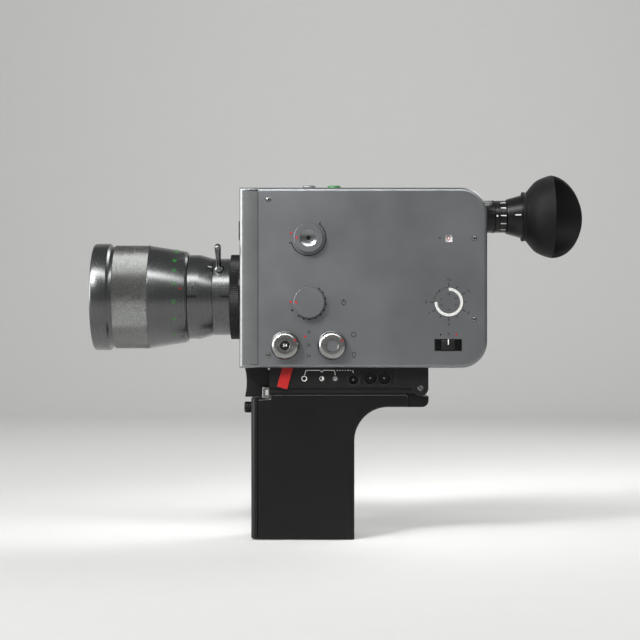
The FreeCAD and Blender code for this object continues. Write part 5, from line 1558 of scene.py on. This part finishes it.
@dataclass
class Rail(Printer):
    """The black rail under the body: release marks, sockets, fade tab, lug and trigger."""

    face: float = field(default_factory=lambda: span("base_rail").low.y)

    def build_rail(self) -> None:
        """The rail with softly rounded edges, its trigger, its lug and its fade tab."""
        for node, finish, body, slot, edge in (
                ("base_rail", RAIL_BLACK, "camera_body", "black_plastic", 0.35),
                ("trigger", RAIL_BLACK, "release", "black_plastic", 0.5),
                ("strap_lug", STEEL, "camera_body", "bright_steel", 0.25),
                ("fade_lever", RED_TAB, "fade", "red_tab", 0.2),
                ("remote_socket", SOCKET_BLACK, "camera_body", "black_plastic", 0.15),
                ("twin_socket", SOCKET_BLACK, "camera_body", "black_plastic", 0.15)):
            piece = copy_of(node, f"{node}_body")
            if node == "trigger":
                self.hollow_front(piece)
            piece = even_out(round_off(piece, edge))
            finish_piece(piece, finish, body, soft=False)

    def hollow_front(self, trigger: bpy.types.Object) -> None:
        """Rounds the fold in the trigger's front to a finger's curve."""
        front = span("trigger").low.x * MM
        low, high = span("trigger").low.z * MM, span("trigger").high.z * MM
        take(trigger)
        edit()
        found = pick(lambda place, run: abs(run.y) > 0.99 and place.x < front + 6 * MM
                     and low + 3 * MM < place.z < high - 3 * MM, Kind.EDGE)
        LOG.info("the trigger's front has %d folds", found)
        bpy.ops.mesh.bevel(offset=7 * MM, segments=10, clamp_overlap=True)
        clear_selection()

    def build_pin(self) -> None:
        """The folding hinge's bright pin, a black bar painted as the shade in its slot, and a grey
        arc painted as the highlight along part of the rim of its shallow round boss.
        """
        pin = span("grip_hinge_pin")
        centre = (pin.middle.x, pin.middle.z)
        head = lathe("grip_hinge_pin_body", [
            (pin.low.y, 0.0), (pin.low.y, 1.7), (pin.low.y + 0.3, 2.0), (pin.high.y - 0.3, 2.0),
            (pin.high.y, 1.7), (pin.high.y, 0.0)], centre, Axis.Y, steps=48, closed=False)
        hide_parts("grip_hinge_pin")
        finish_piece(head, STEEL, "camera_body")
        # Painted shade: a black bar stands for the shade in the pin's slot.
        slot = [((centre[0] - 1.3, centre[1] + 1.3), (centre[0] + 1.3, centre[1] - 1.3), 0.5)]
        self.bars("hinge_pin_slot_shade", slot, INNER_BLACK_AND_SHADE, face=pin.low.y, slot="bright_steel")
        # Painted highlight: a grey arc along part of the boss's rim, where its edge catches the
        # light.
        self.band("hinge_boss_highlight", centre, 4.6, 0.24, 140, 200, RAIL_EDGE_HIGHLIGHT)

    def print_release(self) -> None:
        """The release's marks, an open, a half and a full disc, joined by a bracket."""
        height, line, top, foot = 98.0, 0.42, 103.0, 100.1
        self.ring("release_ring", (0.95, height), 1.45, 0.5, WHITE_INK)
        self.ring("release_half_ring", (11.6, height), 1.3, 0.3, WHITE_INK)
        self.band("release_half", (11.6, height), 0.65, 1.28, 0, 180, WHITE_INK)
        self.dot("release_full", (19.7, height), 1.45, GREY_INK)
        self.bars("release_bracket", [
            ((1.9, top), (10.6, top), line), ((12.6, top), (19.2, top), line),
            ((10.6, top), (11.6, top - 1.1), line), ((11.6, top - 1.1), (12.6, top), line),
            ((1.9, top), (1.2, foot), line), ((19.2, top), (19.8, foot), line),
            ((30.2, top), (30.7, foot + 1.3), line)]
            + [((start, top), (start + 0.8, top), line)
               for start in (20.6, 22.2, 23.8, 25.4, 27.0, 28.6)], WHITE_INK)

    def print_sockets(self) -> None:
        """Painted highlights for the lit edges of a raised ring round the remote socket, of a thin
        frame round the twin one and of the rings round its two sockets.
        """
        # Painted highlight: thin grey lines where moulded edges on the rail catch the light.
        self.ring("remote_ring_highlight", (30.7, 97.3), 3.4, 0.35, RAIL_EDGE_HIGHLIGHT)
        low, high, left, right, wide = 94.0, 103.4, 34.4, 56.2, 0.22
        self.bars("twin_frame_highlight", [
            ((left, low), (right, low), wide), ((left, high), (right, high), wide),
            ((left, low), (left, high), wide), ((right, low), (right, high), wide)], RAIL_EDGE_HIGHLIGHT)
        for index, across in enumerate((41.0, 49.5)):
            self.ring(f"twin_ring_{index}", (across, 98.3), 4.05, 0.22, RAIL_EDGE_HIGHLIGHT)

    def build(self) -> None:
        """Makes the rail and all that is on it."""
        self.build_rail()
        self.build_pin()
        self.print_release()
        self.print_sockets()


@dataclass
class Grip:
    """The pistol grip: covers, frame, front strip with its lock knob, and foot plate."""

    front_round: float = 1.9
    knurls: int = 22

    def build_covers(self) -> None:
        """The two side covers, with a round down their front edges."""
        for node in ("grip_cover_right", "grip_cover_left"):
            shell = copy_of(node, f"{node}_shell")
            box = span(node)
            front = box.low.x * MM
            outer = (box.low.y if node.endswith("right") else box.high.y) * MM
            take(shell)
            edit()
            pick(lambda place, run: abs(place.x - front) < 4e-4 and abs(place.y - outer) < 2e-3
                 and abs(run.z) > 0.99, Kind.EDGE)
            bpy.ops.mesh.bevel(offset=self.front_round * MM, segments=10, clamp_overlap=True)
            clear_selection()
            finish_piece(even_out(shell), GRIP_BLACK, "grip", soft=False)

    def build_frame(self) -> None:
        """The frame between the covers, the front strip and the foot plate."""
        for node, body, edge in (("grip_frame", "grip", 0.3), ("battery_door", "strip", 0.4),
                                 ("grip_foot_plate", "grip", 0.5)):
            piece = even_out(round_off(copy_of(node, f"{node}_body"), edge))
            finish_piece(piece, GRIP_BLACK, body, soft=False)

    def build_lock(self) -> None:
        """The strip's lock knob, knurled round its rim, with a black bar painted as the shade in
        its slot.
        """
        box = span("battery_door_knob")
        centre = (box.middle.y, box.middle.z)
        front, back = box.low.x, box.high.x
        face = span("battery_door").low.x - 0.3
        knob = lathe("battery_door_knob_body", [
            (front, 0.0), (front, 2.7), (front + 0.4, 3.1), (face, 3.1), (face, 2.0),
            (back, 2.0), (back, 0.0)], centre, Axis.X, steps=64, closed=False)
        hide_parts("battery_door_knob")
        finish_piece(knob, BLACK_PLASTIC, "lock")
        rib = block("lock_rib", (front + 0.35, centre[0] - 0.22, centre[1] + 2.9),
                    (face, centre[0] + 0.22, centre[1] + 3.4), 0.1)
        ribs = crown("lock_ribs", rib, self.knurls, (0.0, centre[0], centre[1]))
        finish_piece(ribs, BLACK_PLASTIC, "lock")
        # Painted shade: a black bar on the knob's face stands for the shade in its slot.
        slot = block("lock_slot_shade", (front - 0.03, centre[0] - 2.2, centre[1] - 0.35),
                     (front + 0.2, centre[0] + 2.2, centre[1] + 0.35), 0.05)
        finish_piece(slot, INNER_BLACK_AND_SHADE, "lock")

    def build(self) -> None:
        """Makes the whole grip."""
        self.build_covers()
        self.build_frame()
        self.build_lock()


@dataclass
class DoorSide:
    """The film door's side: the trim of its latch and of its window."""

    def build_latch(self) -> None:
        """The turning latch's raised finger bar and the bead round its rim."""
        box = span("door_latch")
        face = box.high.y
        centre = (box.middle.x, box.middle.z)
        bar = block("latch_grip", (centre[0] - 0.9, face - 1.0, centre[1] - 5.4),
                    (centre[0] + 0.9, face + 0.9, centre[1] + 5.4), 0.45)
        finish_piece(bar, STEEL, "latch")
        ring = lathe("latch_ring", [(face - 0.5, 5.9), (face + 0.15, 6.1), (face + 0.15, 6.5),
                                    (face - 0.5, 6.7)], centre, Axis.Y, steps=72)
        finish_piece(ring, STEEL, "latch")

    def build_window(self) -> None:
        """A black bead round the door's film window."""
        box = span("door_window")
        face = span("film_door").high.y
        trim = block("window_trim", (box.low.x - 0.9, face - 0.6, box.low.z - 0.9),
                     (box.high.x + 0.9, face + 0.12, box.high.z + 0.9), 0.1)
        take(trim)
        edit()
        pick(lambda place, normal: normal.y > 0.9 and place.y > (face + 0.1) * MM)
        bpy.ops.mesh.inset(thickness=0.9 * MM)
        bpy.ops.mesh.extrude_region_move(TRANSFORM_OT_translate={"value": (0, -0.5 * MM, 0)})
        clear_selection()
        finish_piece(heal(trim), BLACK_PLASTIC, "door")

    def build(self) -> None:
        """Makes the door side's trim."""
        self.build_latch()
        self.build_window()


# ---------------------------------------------------------------- studio


@dataclass
class Studio:
    """The floor with its sweep, the lamps, the surroundings and the camera."""

    eye: Point = (10.5, -1060.0, 133.5)
    focal: float = 96.6
    floor_half: float = 2600.0
    sweep_start: float = 1300.0
    sweep_round: float = 700.0
    wall_height: float = 2600.0
    floor_tone: Tone = (206, 206, 204)

    def set_floor(self) -> None:
        """Lays a pale floor that curves up into a wall behind the object."""
        clear_selection()
        bpy.ops.mesh.primitive_plane_add(size=1)
        floor = named("studio_floor")
        half, back = self.floor_half * MM, self.sweep_start * MM
        edit()
        bpy.ops.mesh.select_all(action="SELECT")
        bpy.ops.transform.resize(value=(2 * half, half + back, 1))
        bpy.ops.transform.translate(value=(0, (back - half) / 2, 0))
        pick(lambda place, _: place.y > back - 1e-4, Kind.EDGE)
        radius = self.sweep_round * MM
        bpy.ops.mesh.spin(steps=24, angle=-math.radians(90), center=(0, back, radius),
                          axis=(1, 0, 0))
        pick(lambda place, run: place.z > radius - 1e-4 and abs(run.x) > 0.9, Kind.EDGE)
        bpy.ops.mesh.extrude_edges_move(
            TRANSFORM_OT_translate={"value": (0, 0, self.wall_height * MM)})
        clear_selection()
        heal(floor)
        smooth(floor, math.radians(60))
        shader = Shader("studio_paper")
        shader.plain(Roughness=0.9, Specular_IOR_Level=0.1)
        shader.tint(shader.noise(40.0), shade(self.floor_tone, 0.995), self.floor_tone)
        floor.data.materials.append(shader.material)

    def lamp(self, name: str, place: Point, aim: Point, size: tuple[float, float],
             watts: float, spread: float) -> None:
        """Hangs one soft rectangular lamp.

        Args:
            name: Its name.
            place: Where it hangs, in mm.
            aim: What it points at, in mm.
            size: Its width and height in mm.
            watts: Its power.
            spread: How wide its beam opens, in degrees.
        """
        clear_selection()
        bpy.ops.object.light_add(type="AREA", location=metres(place))
        made = named(name)
        made.data.shape = "RECTANGLE"
        made.data.size, made.data.size_y = size[0] * MM, size[1] * MM
        made.data.energy = watts
        made.data.spread = math.radians(spread)
        made.rotation_euler = (metres(aim) - metres(place)).to_track_quat("-Z", "Y").to_euler()

    def hang_lamps(self) -> None:
        """A long key high in front, a tight one on the top front corner, and three that fill."""
        for name, place, aim, size, watts, spread in (
                ("key", (-160, -760, 1100), (-20, 0, 150), (2400, 260), 8.6, 120.0),
                ("fall", (-520, -640, 760), (-70, -27, 215), (260, 260), 0.35, 24.0),
                ("side", (-1200, -330, 360), (-40, 0, 130), (760, 1000), 6.5, 110.0),
                ("rear", (700, 620, 1000), (60, 0, 170), (600, 600), 4.0, 120.0),
                ("backdrop", (0, 500, 1500), (0, 2000, 700), (1800, 500), 10.0, 140.0)):
            self.lamp(name, place, aim, size, watts, spread)

    def surround(self) -> None:
        """An even grey room."""
        world = bpy.data.worlds.new("studio_room")
        bpy.context.scene.world = world
        world.use_nodes = True
        back = world.node_tree.nodes["Background"]
        back.inputs["Color"].default_value = linear((188, 189, 190))
        back.inputs["Strength"].default_value = 0.55

    def place_camera(self) -> None:
        """The camera looks level along +Y at the middle of the body."""
        clear_selection()
        bpy.ops.object.camera_add(location=metres(self.eye), rotation=(math.radians(90), 0, 0))
        camera = named("studio_camera")
        camera.data.lens = self.focal
        camera.data.sensor_width = 36.0
        camera.data.clip_start, camera.data.clip_end = 0.02, 50.0
        bpy.context.scene.camera = camera
        bpy.context.scene.view_settings.view_transform = "Standard"

    def build(self) -> None:
        """Sets the whole studio."""
        self.set_floor()
        self.hang_lamps()
        self.surround()
        self.place_camera()


# ---------------------------------------------------------------- frame nodes that stay


class KeptNodes:
    """Frame nodes whose shape is right: each keeps its mesh and gets its finish."""

    finishes: dict[str, Finish] = {
        "body_frame": FRAME_CAST,
        "front_light_window": BLACK_PLASTIC,
        "relay_cell": INNER_BLACK_AND_SHADE,
        "finder_prism": CLEAR_GLASS,
        "finder_tube": INNER_BLACK_AND_SHADE,
        "counter_window": WINDOW_PANE,
        "drive_motor": FRAME_CAST,
        "film_gate": INNER_BLACK_AND_SHADE,
        "control_board": BOARD_GREEN,
        "door_hinge_pin": STEEL,
        "socket_pins": STEEL,
        "variator_cell": INNER_BLACK_AND_SHADE,
        "counter_disc": DIAL_WHITE,
        "gauge_dial": BODY_SILVER,
        "motor_pinion": BRASS,
        "shutter_gear": BRASS,
        "shutter_disc": STEEL,
        "takeup_spindle": BLACK_PLASTIC,
        "door_window": CLEAR_GLASS,
        "door_latch": STEEL,
        "battery_cells": CELL_SLEEVE,
        "battery_contacts": STEEL,
    }

    def dress(self) -> None:
        """Gives each of them its own finish."""
        for name, finish in self.finishes.items():
            node = frame["nodes"][name]
            material = finish.material()
            if not node.data.materials:
                node.data.materials.append(material)
            for index in range(len(node.material_slots)):
                node.material_slots[index].material = material
            LOG.info("%s keeps its shape", name)


def main() -> None:
    """Builds the studio and dresses the camera, one sub-assembly after another."""
    logging.basicConfig(level=logging.INFO, format="%(name)s: %(message)s")
    clear_selection()
    Studio().build()
    ZoomLens().build()
    Eyepiece().build()
    ControlSide().build()
    Knobs().build()
    Dials().build()
    Rail().build()
    Grip().build()
    DoorSide().build()
    KeptNodes().dress()


if __name__ == "__main__":
    main()
